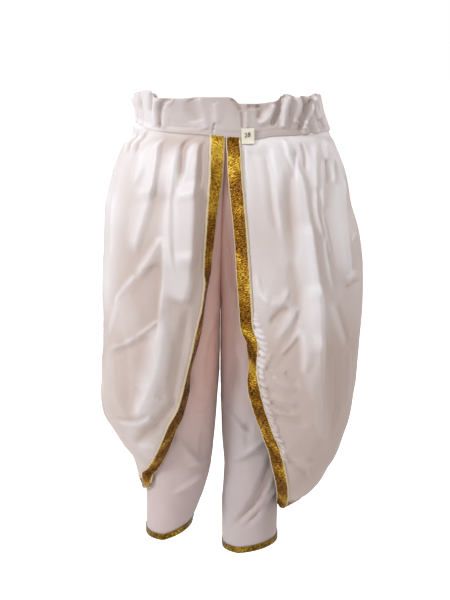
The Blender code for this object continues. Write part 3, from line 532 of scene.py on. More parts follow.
def fold_depth(ahead, z, fold):
    """How far one large fold is pressed in, along its two straight runs."""
    ends = [(fold["b1"], fold["z1"]), (fold["b2"], fold["z2"]), (fold["b3"], fold["z3"])]
    lengths = [math.dist(ends[0], ends[1]), math.dist(ends[1], ends[2])]
    nearest = np.full(np.shape(z), 1e9)
    place = np.zeros(np.shape(z))
    for k in range(2):
        (bx, bz), (ex, ez) = ends[k], ends[k + 1]
        t = ((ahead - bx) * (ex - bx) + (z - bz) * (ez - bz)) / lengths[k] ** 2
        t = np.clip(t, 0.0, 1.0)
        away = np.hypot(ahead - bx - t * (ex - bx), z - bz - t * (ez - bz))
        closer = away < nearest
        nearest = np.where(closer, away, nearest)
        place = np.where(closer, (lengths[0] * k + t * lengths[k]) / sum(lengths), place)
    bump = np.clip(1.0 - (nearest / fold["wide"]) ** 2, 0.0, 1.0) ** 2
    fade = ease(place / FOLD_FADE + FOLD_END) * ease((1.0 - place) / FOLD_FADE + FOLD_END)
    return fold["deep"] * bump * fade


def pressed_in(drape, ahead, z, seam):
    """How far the pleats and large folds of a drape press it in, all together."""
    total = np.zeros(np.shape(z))
    for row in drape.pleats:
        total += pleat_depth(ahead, z, seam, dict(zip(PLEAT_COLUMNS, row)))
    for row in drape.folds:
        total += fold_depth(ahead, z, dict(zip(FOLD_COLUMNS, row)))
    hidden = past(ahead, FRONT_FROM, FRONT_OVER)
    return total * (FRONT_PLEATS + (HIDDEN_PLEATS - FRONT_PLEATS) * hidden)


def clear_of_leg(leg, x, y, z, gap, soft):
    """Push points out until they lie a gap outside the leg's surface."""
    form = {name: read(leg.rows, LEG_COLUMNS, name, z) for name in LEG_COLUMNS}
    dx, dy = x - form["middle"], y - form["centre"]
    inner = dx * leg.side < 0
    half_x = np.abs(np.where(inner, form["inner"], form["outer"]) - form["middle"]) + gap
    half_y = np.abs(np.where(dy < 0, form["front"], form["back"]) - form["centre"]) + gap
    exponent = np.where(inner, form["square"], OUTER_SQUARE)
    size = (np.abs(dx / half_x) ** exponent + np.abs(dy / half_y) ** exponent) ** (1 / exponent)
    radius = np.hypot(dx, dy)
    limit = radius / np.maximum(size, 1e-6)
    grown = radius + soft * np.logaddexp(0.0, (limit - radius) / soft)
    scale = grown / np.maximum(radius, 1e-6)
    return form["middle"] + dx * scale, form["centre"] + dy * scale


# ------------------------------------------------------------------ fine creases
# Creases of the drapes: three places on each line, as mm ahead of the side line and
# height.  rise is negative for a trough.  upper and lower are the widths of the crease's
# two sides; sharp runs from 0, a round roll, to 1, a pressed edge.
CREASE_COLUMNS = ("b1", "z1", "b2", "z2", "b3", "z3", "rise", "upper", "lower", "sharp")
RIGHT_CREASES = (
    (126, -24, 146, -57, 159, -95, 6.4, 4.5, 40, 0.6),
    (151, -72, 166, -121, 172, -175, 9.6, 13, 42, 0.3),
    (170, -149, 170, -183, 165, -214, 5.6, 14, 32, 0.4),
    (133, -30, 153, -56, 167, -92, 1.2, 7, 4, 0.5),
    (105, -29, 122, -60, 134, -96, 3.6, 7, 22, 0.6),
    (128, -79, 140, -122, 153, -175, 2.0, 4, 12, 0.6),
    (112, -26, 122, -43, 139, -77, -5.4, 7, 5.5, 0.6),
    (132, -79, 146, -122, 157, -180, -1.3, 4, 3.5, 0.6),
    (77, -23, 100, -57, 111, -98, 6.6, 4, 34, 0.8),
    (106, -75, 109, -113, 104, -159, 4.4, 8, 28, 0.6),
    (57, -16, 50, -30, 62, -45, -4.4, 5, 5, 0.7),
    (34, -23, 36, -34, 46, -47, -4.2, 4, 4, 0.7),
    (27, -32, 23, -46, 35, -67, -2.4, 5, 5, 0.5),
    (71, -42, 82, -60, 82, -81, 2.0, 7, 9, 0.4),
    (44, -89, 59, -134, 64, -170, 1.6, 9, 8, 0.2),
    (136, -133, 125, -160, 108, -185, 3.2, 9, 9, 0.6),
    (111, -181, 95, -198, 75, -219, 3.0, 8, 5, 0.6),
    (135, -164, 122, -185, 101, -210, -1.5, 10, 22, 0.3),
    (136, -164, 138, -197, 133, -261, -2.6, 4, 30, 0.3),
    (137, -135, 143, -179, 140, -231, 2.6, 16, 4, 0.7),
    (88, -206, 75, -232, 56, -262, 2.2, 8, 8, 0.4),
    (140, -230, 124, -243, 105, -256, 2.8, 3.6, 3.2, 0.6),
    (109, -253, 90, -264, 54, -276, 3.2, 4, 3.2, 0.6),
    (128, -249, 103, -266, 60, -284, -2.2, 5, 9, 0.3),
    (174, -215, 161, -280, 147, -341, -3.0, 7, 14, 0.2),
    (154, -325, 126, -357, 65, -394, -3.6, 9, 9, 0.4),
    (141, -222, 131, -297, 90, -367, 5.0, 16, 22, 0.4),
    (87, -257, 94, -301, 90, -346, -3.4, 14, 24, 0.2),
    (67, -361, 96, -362, 119, -351, 2.6, 2.6, 5, 0.8),
    (65, -358, 97, -356, 120, -345, -1.6, 6, 2.6, 0.6),
    (75, -390, 86, -393, 101, -390, 1.6, 6, 6, 0.2),
    (16, -60, 12, -130, 10, -196, -2.4, 14, 7, 0.6),
    (-20, -90, -26, -150, -34, -210, -2.6, 7, 14, 0.7),
    (-40, -60, -52, -118, -58, -176, 2.8, 6, 16, 0.8),
    (-20, -210, -60, -240, -110, -250, 3.0, 7, 12, 0.7),
    (-40, -250, -80, -272, -120, -278, -2.4, 7, 9, 0.4),
    (-30, -340, -60, -366, -100, -380, 2.6, 5, 8, 0.7),
    (-60, -380, -84, -396, -112, -402, -2.2, 6, 7, 0.5),
    (-136, -190, -140, -250, -130, -300, -2.8, 6, 14, 0.7),
    (-100, -140, -120, -200, -130, -250, 2.6, 9, 16, 0.6),
    (-170, -200, -184, -260, -176, -318, 2.4, 12, 7, 0.5),
    (6, -240, -18, -290, -24, -340, 2.4, 7, 16, 0.7),
    (20, -300, 30, -340, 40, -380, -2.2, 8, 8, 0.4),
)
LEFT_CREASES = (
    (130, -38, 147, -86, 160, -139, -1.5, 9, 4, 0.9),
    (114, -29, 138, -82, 154, -140, 2.6, 8, 14, 0.3),
    (110, -60, 133, -107, 151, -176, -2.6, 13, 10, 0.4),
    (151, -160, 150, -196, 150, -236, -2.2, 12, 10, 0.4),
    (91, -41, 104, -56, 115, -75, -2.4, 9, 3, 0.8),
    (96, -27, 104, -43, 107, -66, 2.6, 5, 12, 0.4),
    (102, -58, 109, -91, 123, -144, 3.0, 18, 6, 0.8),
    (115, -119, 124, -164, 121, -210, 5.4, 28, 5, 0.8),
    (124, -187, 124, -227, 121, -275, 5.6, 26, 9, 0.6),
    (123, -244, 114, -308, 76, -402, 6.6, 28, 12, 0.6),
    (56, -30, 80, -61, 93, -88, 2.8, 9, 2.6, 0.8),
    (91, -83, 101, -110, 106, -141, 3.0, 7, 2.3, 0.8),
    (103, -134, 108, -166, 104, -204, 2.8, 8, 3, 0.8),
    (63, -51, 79, -76, 93, -112, 2.2, 4, 3, 0.7),
    (32, -29, 49, -42, 56, -56, 3.4, 8, 3, 0.6),
    (56, -50, 63, -65, 73, -80, -3.4, 3.5, 5, 0.7),
    (38, -43, 53, -63, 64, -81, 3.0, 8, 4, 0.6),
    (92, -103, 100, -134, 101, -158, 2.0, 5, 3, 0.6),
    (38, -53, 45, -66, 63, -83, -3.0, 4, 3.5, 0.7),
    (30, -66, 68, -127, 75, -198, 6.4, 27, 7, 0.5),
    (147, -31, 164, -59, 174, -88, -1.2, 2, 2, 0.5),
    (151, -41, 142, -44, 131, -40, -0.8, 5, 7, 0.3),
    (84, -189, 77, -186, 55, -185, 2.8, 6, 4, 0.8),
    (87, -197, 66, -194, 42, -193, -2.2, 4, 8, 0.4),
    (63, -152, 53, -144, 32, -139, 1.4, 3, 3, 0.5),
    (193, -176, 191, -201, 179, -212, 2.2, 9, 5, 0.5),
    (183, -211, 168, -210, 158, -191, 2.0, 9, 5, 0.5),
    (182, -238, 171, -224, 157, -216, -2.8, 6, 9, 0.2),
    (81, -32, 84, -45, 96, -65, -2.6, 4.5, 4, 0.6),
    (148, -213, 158, -232, 174, -256, 2.4, 9, 6, 0.4),
    (149, -218, 152, -239, 164, -268, -1.0, 5, 4, 0.6),
    (142, -238, 155, -255, 168, -274, 2.4, 6, 6, 0.6),
    (145, -245, 158, -270, 174, -296, -0.7, 5, 6, 0.5),
    (178, -269, 181, -281, 185, -292, 1.8, 5, 5, 0.3),
    (182, -286, 175, -294, 169, -301, -1.6, 4, 4, 0.4),
    (159, -292, 151, -300, 139, -309, -2.4, 6, 5, 0.5),
    (174, -302, 158, -309, 138, -316, 2.0, 5, 6, 0.3),
    (179, -314, 168, -321, 153, -327, -2.4, 6, 4, 0.6),
    (168, -321, 151, -329, 134, -334, 2.0, 5, 6, 0.3),
    (168, -329, 154, -338, 134, -346, -3.0, 6, 4, 0.7),
    (157, -348, 140, -353, 113, -359, -3.0, 4, 7, 0.6),
    (157, -341, 143, -345, 124, -349, 1.8, 4, 4, 0.3),
    (129, -391, 106, -402, 76, -414, 3.0, 5, 14, 0.8),
    (117, -403, 93, -418, 71, -431, -2.0, 7, 6, 0.3),
    (111, -209, 101, -237, 85, -269, 2.2, 7, 7, 0.4),
    (101, -210, 89, -238, 77, -266, -1.8, 6, 7, 0.3),
    (76, -275, 66, -311, 57, -348, 2.2, 9, 8, 0.2),
    (101, -271, 84, -323, 76, -371, -4.2, 8, 10, 0.3),
    (145, -241, 138, -267, 136, -299, 3.4, 9, 10, 0.3),
    (20, -70, 14, -130, 10, -196, -2.4, 7, 14, 0.6),
    (-24, -90, -32, -160, -44, -230, -2.6, 14, 7, 0.7),
    (-46, -60, -56, -120, -64, -180, 2.8, 16, 6, 0.8),
    (-40, -250, -84, -276, -130, -284, 3.0, 7, 12, 0.7),
    (-60, -340, -90, -362, -130, -372, -2.4, 6, 8, 0.6),
    (-70, -380, -100, -398, -128, -404, 2.2, 6, 8, 0.6),
    (-128, -200, -140, -262, -130, -320, -2.8, 14, 7, 0.6),
    (-106, -150, -118, -210, -124, -262, 2.6, 16, 7, 0.7),
    (-180, -220, -190, -280, -180, -330, 2.4, 7, 12, 0.5),
    (4, -240, -14, -290, -22, -350, 2.4, 16, 7, 0.7),
    (30, -290, 20, -340, 10, -392, -2.2, 8, 8, 0.4),
)

# Creases of the inner legs, by x and height, on the front (face 1) or the back (face -1)
LEG_CREASE_COLUMNS = (
    "x1", "z1", "x2", "z2", "x3", "z3", "rise", "upper", "lower", "sharp", "face",
)
RIGHT_LEG_CREASES = (
    (-71, -374, -53, -404, -33, -429, 5.0, 7, 12, 0.8, 1),
    (-73, -461, -50, -449, -25, -430, 5.4, 7, 5, 0.8, 1),
    (-55, -425, -40, -421, -27, -414, 3.4, 5, 5, 0.8, 1),
    (-41, -359, -34, -353, -27, -346, 2.2, 3, 4, 0.6, 1),
    (-42, -337, -34, -334, -26, -327, -2.0, 4, 5, 0.4, 1),
    (-31, -374, -35, -397, -32, -422, -3.0, 12, 6, 0.3, 1),
    (-99, -462, -82, -470, -67, -490, 2.0, 12, 9, 0.1, 1),
    (-56, -301, -49, -325, -42, -357, -2.6, 12, 10, 0.1, 1),
    (-22, -250, -26, -290, -30, -330, -2.6, 8, 8, 0.2, 1),
    (-14, -205, -20, -235, -30, -262, 2.2, 6, 8, 0.3, 1),
    (-12, -120, -17, -165, -26, -205, -2.6, 6, 7, 0.3, 1),
    (-100, -340, -76, -372, -44, -392, 2.6, 7, 9, 0.3, -1),
    (-96, -420, -74, -440, -46, -452, -2.6, 7, 8, 0.4, -1),
    (-20, -236, -52, -262, -96, -272, -3.2, 8, 9, 0.4, -1),
    (-24, -256, -56, -286, -98, -300, 2.6, 8, 9, 0.3, -1),
)
LEFT_LEG_CREASES = (
    (-14, -340, 5, -365, 26, -385, 4.2, 4, 8, 0.9, 1),
    (-4, -424, 19, -407, 45, -387, 5.4, 7, 7, 0.8, 1),
    (51, -402, 35, -462, -9, -517, -7.4, 8, 11, 0.6, 1),
    (64, -453, 43, -480, 6, -515, -6.0, 6, 7, 0.5, 1),
    (61, -437, 50, -470, 23, -503, 4.6, 6, 6, 0.4, 1),
    (-9, -434, -2, -462, -3, -490, 2.2, 10, 9, 0.1, 1),
    (0, -274, 6, -301, 10, -332, -2.4, 10, 10, 0.1, 1),
    (24, -359, 19, -382, 22, -402, -2.2, 8, 8, 0.2, 1),
    (-4, -250, -2, -290, 0, -330, -2.6, 8, 8, 0.2, 1),
    (-8, -120, -4, -165, 4, -205, -2.4, 6, 7, 0.3, 1),
    (72, -330, 44, -366, 10, -384, 2.6, 7, 9, 0.3, -1),
    (62, -410, 38, -440, 4, -456, -2.6, 7, 8, 0.4, -1),
    (4, -238, 34, -262, 80, -272, -3.2, 8, 9, 0.4, -1),
    (6, -258, 38, -286, 82, -300, 2.6, 8, 9, 0.3, -1),
)

# Folds of the waistband's front: x and height at three places
BAND_FOLD_COLUMNS = ("x1", "z1", "x2", "z2", "x3", "z3", "rise", "upper", "lower", "sharp")
BAND_FOLDS = (
    (-93, 24, -93, 12, -94, 2, -3.2, 3, 4, 0.6),
    (-102, 19, -107, 6, -106, -10, -1.8, 4, 5, 0.4),
    (-87, 17, -88, 4, -88, -15, 3.4, 6, 5, 0.3),
    (-67, 17, -82, 9, -83, -17, -4.2, 5, 5, 0.7),
    (-65, 17, -75, 7, -78, -16, 2.0, 9, 5, 0.3),
    (-47, 18, -43, 7, -40, -8, -2.0, 14, 14, 0.1),
    (-36, 19, -33, 1, -29, -17, 1.8, 7, 16, 0.3),
    (-19, -9, -21, -15, -22, -22, -1.8, 2.2, 1.8, 0.8),
    (-20, 13, -18, 3, -19, -10, 1.4, 10, 6, 0.2),
    (-1, 18, 6, 13, 10, 4, -3.6, 4, 5, 0.8),
    (10, 6, 12, -3, 12, -16, -2.0, 2.5, 3, 0.7),
    (16, 3, 16, -6, 16, -16, 1.4, 6, 3, 0.4),
    (17, 9, 24, 9, 32, 9, -2.0, 6, 5, 0.3),
    (28, 11, 33, 3, 29, -5, -2.4, 6, 6, 0.3),
    (48, 12, 42, -2, 30, -10, 3.2, 9, 7, 0.3),
    (59, 21, 53, 5, 46, -13, -5.4, 4, 7, 0.7),
    (66, 21, 60, 5, 58, -16, 3.6, 7, 6, 0.4),
    (67, 11, 67, -2, 67, -16, -1.6, 4, 3, 0.6),
    (72, 19, 75, 7, 71, -11, 2.2, 9, 5, 0.3),
    (93, 16, 85, -1, 76, -19, -5.4, 3, 9, 0.8),
    (97, 20, 89, 1, 82, -18, 3.6, 6, 4, 0.5),
    (95, 8, 95, 0, 94, -13, -1.6, 3, 3, 0.6),
    (101, 15, 103, 4, 102, -8, 2.0, 5, 4, 0.3),
    (102, -7, 105, -12, 108, -19, -2.2, 5, 5, 0.3),
)

# Rows and columns
DRAPE_COLUMNS_FINE = 232
STRIP_COLUMNS_FINE = 8
DRAPE_ROWS_FINE = 176
EDGE_ROWS_FINE = 8
LEG_COLUMNS_FINE = 200
LEG_ROWS_FINE = 200
CLOSE_AT_CENTRE = 0.115  # a leg's columns stand closer at its centre seam
CLOSE_AT_FRONT = 0.12    # a drape's stand closer at its front
BAND_COLUMNS_FINE = 720
BAND_OUTER_ROWS, BAND_TURN_ROWS, BAND_INNER_ROWS = 34, 9, 18
BAND_ROW_STEP = 1.3      # along the band's weave, from row to row
BAND_LOW = 1.012         # the outer face ends this part of its height below the top
HEM_LACE_COLUMNS, HEM_LACE_ROWS = 300, 10
LACE_COLUMNS = 14
LOW_LACE_COLUMNS = 260
LACE_PITCH = 0.6         # spacing of the rows along a lace
LACE_LAP = 1.6           # a lace laps over the drape beyond its line
JOIN_WITHIN = 0.05       # points this near to each other become one

# Sewing thread
STITCH = {"long": 2.5, "gap": 0.8, "thick": 0.42, "out": 0.1}
STITCH_LINES = (0.9, 6.3)    # heights above the waist seam
STITCH_DENT = {"deep": 0.45, "wide": 1.1}    # how the upper line draws the band in
TUCK_RISE = 0.8              # a drape's top edge goes in under the band
LEG_TUCK_DROP = 1.6 * SEAM_GAP       # a leg's lies just under the seam
TUCK_HEIGHT, LEG_TUCK_HEIGHT = 8.0, 12.0
TUCK_INSIDE, LEG_TUCK_INSIDE = 0.9, 2.6      # how far inside the band's outer face

# The small unevenness of the cloth: height, and the size of its patches across and down
DRAPE_RUMPLES = ((0.6, 22.0, 60.0, 0.0), (0.2, 9.0, 26.0, 5.0))   # the last adds to the seed
LEG_RUMPLE = (0.55, 16.0, 30.0)
BAND_RUMPLE = (0.5, 9.0, 24.0)
BAND_GIRTH, BAND_SEED = 1.7, 3.0     # mm round the band for each degree
BAND_PLAIN = 0.25        # the part of its height over which it grows plain at the seam
BAND_FOLDS_FROM, BAND_FOLDS_OVER = 0.15, 0.2     # sine of the angle where folds start

# The gathers.  The pitch and the height vary: how much, how fast and from where
GATHER_PITCH = ((0.22, 0.61, 0.0), (0.16, 0.23, 1.0))
GATHER_HEIGHT = (0.25, 0.37)
GATHER_ROUND = 0.7       # below 1 the crests are broader than the hollows
GATHER_END = 6.0         # degrees over which they fade out beside the flat front
GATHER_LOW = 0.94        # the part of the band's height where they are at their lowest

CRUMPLE, HIDDEN_CRUMPLE = 1.6, 3.0   # height of the small planes between creases
CRUMPLE_SIZE = (36.0, 62.0)
CRUMPLE_BEND = 0.35      # how far their edges bend, and in patches how much larger
CRUMPLE_BEND_SIZE, CRUMPLE_BEND_SEED = 1.3, 3.0
CRUMPLE_FROM = 60.0      # ahead of the side line, where they start to grow to the back
BELOW_SEAM = 60.0        # all of it comes in over this height below the seam
DRAPE_SLANT = 0.25       # a drape's cloth pulls forward by this much of its height
LEG_SLANT, LEG_DEPTH = 0.4, 3.0      # the same for a leg, and what its depth adds
EDGE_REACH = 0.03        # the lower edge's slope is read over this share to each side
STEEPEST = 1.5           # and counts up to this, squared
CREASE_SWELL = (0.7, 0.45)   # a crease's width at its ends, and what its middle adds
CREASE_PRESS = 1.6       # exponent of a pressed crease's slope
CREASE_FADE = {"drape": 0.2, "leg": 0.35, "band": 0.07}   # parts of its length at each end
CREASE_END = 0.04

# A leg's cloth: plain at the hem, turned in along its open edge above the crotch
LEG_PLAIN_ABOVE, LEG_PLAIN_OVER = -150.0, -120.0
HEM_FLAT = 14.0
OPEN_OVER = 12.0
OPEN_EDGE = {
    "turn": 4.0, "gap": 0.1, "inset": 0.8, "flat": 6.0, "roll": 0.9, "roll_wide": 9.0,
}

# Painted highlights on each front lace, its strongest glints: place along it, half length and
# strength
GLINTS = {
    -1: ((15, 17, 0.4), (72, 24, 0.28), (140, 14, 0.2)),
    1: ((30, 15, 0.3), (68, 9, 0.06), (160, 20, 0.3), (275, 12, 0.4), (352, 14, 0.2)),
}
UPPER_GLINT = {-1: 0.16, 1: 0.06}    # and the painted highlight that its upper part has everywhere
UPPER_FROM, UPPER_OVER = -240.0, 130.0

# Painted light and shade on the cloth, where its folds alone don't give it: the amount, the
# # height or the distance ahead of the side line where it starts, and over what it comes in.
# # In the finish's terms a hollow is at -3 and a crest at 4.
LEG_SHADE, LEG_FOLD_SHADE = -2.6, 0.1
CALF_SHADE = {-1: (5.4, -250.0, -210.0), 1: (6.2, -180.0, -210.0)}
CREST = 4.0
LEFT_SHADE = ((3.0, -130.0, 90.0), (-6.0, -200.0, -130.0))
RIGHT_FLANK = (90.0, -40.0)
RIGHT_FLANK_SHADE, RIGHT_FLANK_LESS = (4.2, -255.0, 60.0), 2.2
RIGHT_FRONT_SHADE = (-2.2, -400.0, 60.0)
BESIDE_LACE_SHADE = (-4.0, -250.0, 60.0)
BESIDE_LACE = {"wide": 12.0, "over": 8.0}
HIDDEN = (20.0, -50.0)
HIDDEN_SHADE = {"plain": 1.6, "fold": 0.4, "low": (-4.0, -190.0, -120.0)}
BAND_SHADE = -1.0        # painted shade: the flat front painted dull, the gathered sides painted as in the light
BAND_SIDE_SHADES = ((4.5, -76.0, -20.0), (2.5, 90.0, 16.0))

# The turned hem beside the left lace, puckered by its sewing.  sunk: how far its edges lie
# under the drape's face.  rise: how far the strip stands up.  deep: what a pucker adds.
PUCKER = {
    "top": -196.0, "low": -430.0, "wide": 15.0, "lap": 0.6, "pitch": 7.0, "sunk": -0.7,
    "rise": 0.85, "deep": 2.5, "long": 0.6, "thick": 0.3,
}
PUCKER_ROW, PUCKER_COLUMNS = 0.75, 22
PUCKER_PLACES, PUCKER_SEED = 400, 28
PUCKER_FADES = (60.0, 40.0, 6.0)     # from the top, from the low end and from the outer side
# each pucker's middle, half length, slant and height are drawn between these two rows
LEAST_PUCKER, MOST_PUCKER = (3.2, 4.5, -0.1, 0.6), (5.6, 7.5, 0.7, 1.0)
PUCKER_SPACING = (0.75, 1.3)         # parts of the pitch
# painted light and shade of the strip: lighter on the puckers, darker between them and low down
PUCKER_SHADE = {"fold": 1.6, "plain": -0.5, "low": (-4.0, -225.0, -130.0)}

# The label's tape and its number
TAPE = {"thick": 0.35, "out": 0.9, "bow": 0.35, "twist": 0.25, "lean": 0.2, "skew": 0.3}
TAPE_COLUMNS, TAPE_ROWS = 14, 20
TAPE_STIFF = 0.5         # how far it lies on the foremost places alone
FRONT_FACE, NEAREST = -40.0, 6       # points ahead of this y, and how many are read
NUMBER = {
    "text": "28", "tall": 7.2, "thick": 0.06, "down": 0.43, "left": 0.6, "out": 0.4,
    "tilt": 0.17,
}


# ------------------------------------------------------------------ surfaces
def signed_line(px, pz, ends):
    """Distance from a bent line, on which side, and the place along it from 0 to 1."""
    (ax, az), (mx, mz), (bx, bz) = ends
    t = np.linspace(0.0, 1.0, 25)
    cx, cz = 2 * mx - (ax + bx) / 2, 2 * mz - (az + bz) / 2
    lx = (1 - t) ** 2 * ax + 2 * t * (1 - t) * cx + t * t * bx
    lz = (1 - t) ** 2 * az + 2 * t * (1 - t) * cz + t * t * bz
    best = np.full(np.shape(px), 1e9)
    side = np.zeros(np.shape(px))
    place = np.zeros(np.shape(px))
    for k in range(len(t) - 1):
        dx, dz = lx[k + 1] - lx[k], lz[k + 1] - lz[k]
        size = dx * dx + dz * dz
        s = np.clip(((px - lx[k]) * dx + (pz - lz[k]) * dz) / size, 0.0, 1.0)
        ox, oz = px - lx[k] - s * dx, pz - lz[k] - s * dz
        away = np.hypot(ox, oz)
        # the upper side is above the line, or ahead of it where it stands upright
        nx, nz = -dz, dx
        if 0.5 * nx + nz < 0:
            nx, nz = -nx, -nz
        closer = away < best
        best = np.where(closer, away, best)
        side = np.where(closer, ox * nx + oz * nz, side)
        place = np.where(closer, (k + s) / (len(t) - 1), place)
    return best, side, place


def crease_height(px, pz, row, names, fade):
    """Height of one crease: round or pressed, with its own width on each side."""
    crease = dict(zip(names, row))
    first, second = names[0][0], names[1][0]
    ends = [(crease[f"{first}{k}"], crease[f"{second}{k}"]) for k in (1, 2, 3)]
    away, side, place = signed_line(px, pz, ends)
    wide = np.where(side > 0, crease["upper"], crease["lower"])
    wide = wide * (CREASE_SWELL[0] + CREASE_SWELL[1] * np.sin(np.pi * place))
    near = np.clip(1.0 - away / wide, 0.0, 1.0)
    pressed = near**CREASE_PRESS
    rolled = ease(near)
    bump = rolled + (pressed - rolled) * crease["sharp"]
    ends_out = ease(place / fade + CREASE_END) * ease((1.0 - place) / fade + CREASE_END)
    return crease["rise"] * bump * ends_out


def rumple(u, v, wide, tall, seed):
    """Seeded noise from -1 to 1, in patches of the given sizes."""
    flat = zip(np.ravel(u) / wide, np.ravel(v) / tall)
    values = [noise.noise(Vector((a, b, seed))) for a, b in flat]
    return np.array(values).reshape(np.shape(u))


def crumple(u, v, wide, tall, seed):
    """Soft flat planes with creases between them: distance to scattered points, 0 to 1."""
    grown = wide * CRUMPLE_BEND_SIZE, tall * CRUMPLE_BEND_SIZE
    bent = CRUMPLE_BEND * rumple(u, v, *grown, seed + CRUMPLE_BEND_SEED)
    flat = zip(np.ravel(u / wide + bent), np.ravel(v / tall - bent))
    near = [noise.voronoi(Vector((a, b, seed)))[0][0] for a, b in flat]
    return np.array(near).reshape(np.shape(u))


def seam_under(panel, share):
    """Height of the waist seam over a panel's top edge."""
    x, y = look_up(panel, share, SEAM_LEVEL)
    return seam_z(x, y)


def drawn_in(x, y, z, part, inside):
    """Points drawn in until they lie inside the waistband's lower edge."""
    form = {name: read(BAND_SECTIONS, BAND_COLUMNS, name, z) for name in BAND_COLUMNS}
    dx = x - WAIST["middle"]
    half_x = np.where(dx > 0, form["left"] - WAIST["middle"], WAIST["middle"] - form["right"])
    half_y = np.where(y < 0, form["front"], form["back"])
    size = np.hypot(dx / (half_x - inside), y / (half_y - inside))
    scale = 1.0 - part * np.clip(1.0 - 1.0 / np.maximum(size, 1e-6), 0.0, 1.0)
    return WAIST["middle"] + dx * scale, y * scale


def drape_surface(drape, across, down):
    """Points of a drape's outer face, the way round it and the lift of its folds.

    across is 0 at the free front edge, 1 at the lace's outer line and 2 at the back edge.
    down is 0 at the waist seam, 1 at the upper line of the lower edge's lace and 2 at the
    lower edge.
    """
    strip_part = np.clip(across, 0.0, 1.0)
    body = np.clip(across - 1.0, 0.0, 1.0)
    seam_strip = at_level(drape, drape.strip, SEAM_LEVEL)
    top_strip = seam_strip / at_level(drape, drape.length, SEAM_LEVEL)
    top = seam_under(drape, top_strip * strip_part + (1.0 - top_strip) * body) + TUCK_RISE
    share = LACE_END_SHARE * strip_part + (1.0 - LACE_END_SHARE) * body

    def low_at(place):
        return read(drape.edge, EDGE_COLUMNS, "z", np.clip(place, 0.0, 1.0))

    low = low_at(share)
    girth = at_level(drape, drape.length, low)
    rise = low_at(share + EDGE_REACH) - low_at(share - EDGE_REACH)
    slope = rise / (2 * EDGE_REACH * girth)
    lace_line = low + LACE_WIDTH * np.sqrt(1.0 + np.minimum(slope**2, STEEPEST))
    upper = np.clip(down, 0.0, 1.0)[:, None]
    under = np.clip(down - 1.0, 0.0, 1.0)[:, None]
    z = top + upper * (lace_line - top) + under * (low - lace_line)
    length = at_level(drape, drape.length, z)
    strip = at_level(drape, drape.strip, z)
    run = strip * strip_part + (length - strip) * body
    share = run / length
    x, y = look_up(drape, share, z)
    nx, ny = outward(drape, share, z)
    ahead = drape.ahead(share, z)
    lift = -pressed_in(drape, ahead, z, top)
    for row in drape.creases:
        lift = lift + crease_height(ahead, z, row, CREASE_COLUMNS, CREASE_FADE["drape"])
    below = ease((top - z) / BELOW_SEAM)
    lean = ahead + DRAPE_SLANT * z
    for high, wide, tall, more in DRAPE_RUMPLES:
        lift = lift + high * below * rumple(lean, z, wide, tall, drape.seed + more)
    hidden = past(ahead, CRUMPLE_FROM, -CRUMPLE_FROM)
    high = CRUMPLE + (HIDDEN_CRUMPLE - CRUMPLE) * hidden
    lift = lift + high * below * (crumple(lean, z, *CRUMPLE_SIZE, drape.seed) - 0.5)
    lift = lift * ease((length - run) / BACK_FADE)
    x, y = x + nx * lift, y + ny * lift
    near = ease(1.0 - (top - z) / NEAR_SEAM)
    gap = LEG_ROOM + (LEG_ROOM_AT_SEAM - LEG_ROOM) * near
    soft = ROOM_SOFTNESS + (ROOM_SOFTNESS_AT_SEAM - ROOM_SOFTNESS) * near
    x, y = clear_of_leg(drape.leg, x, y, z, gap, soft)
    x, y = drawn_in(x, y, z, ease(1.0 - (top - z) / TUCK_HEIGHT), TUCK_INSIDE)
    inmost = (centre_x(z) + drape.side * SEAM_GAP) * drape.side
    x = np.where(y > 0, np.maximum(x * drape.side, inmost) * drape.side, x)
    return np.stack([x, y, z], axis=-1), run, lift


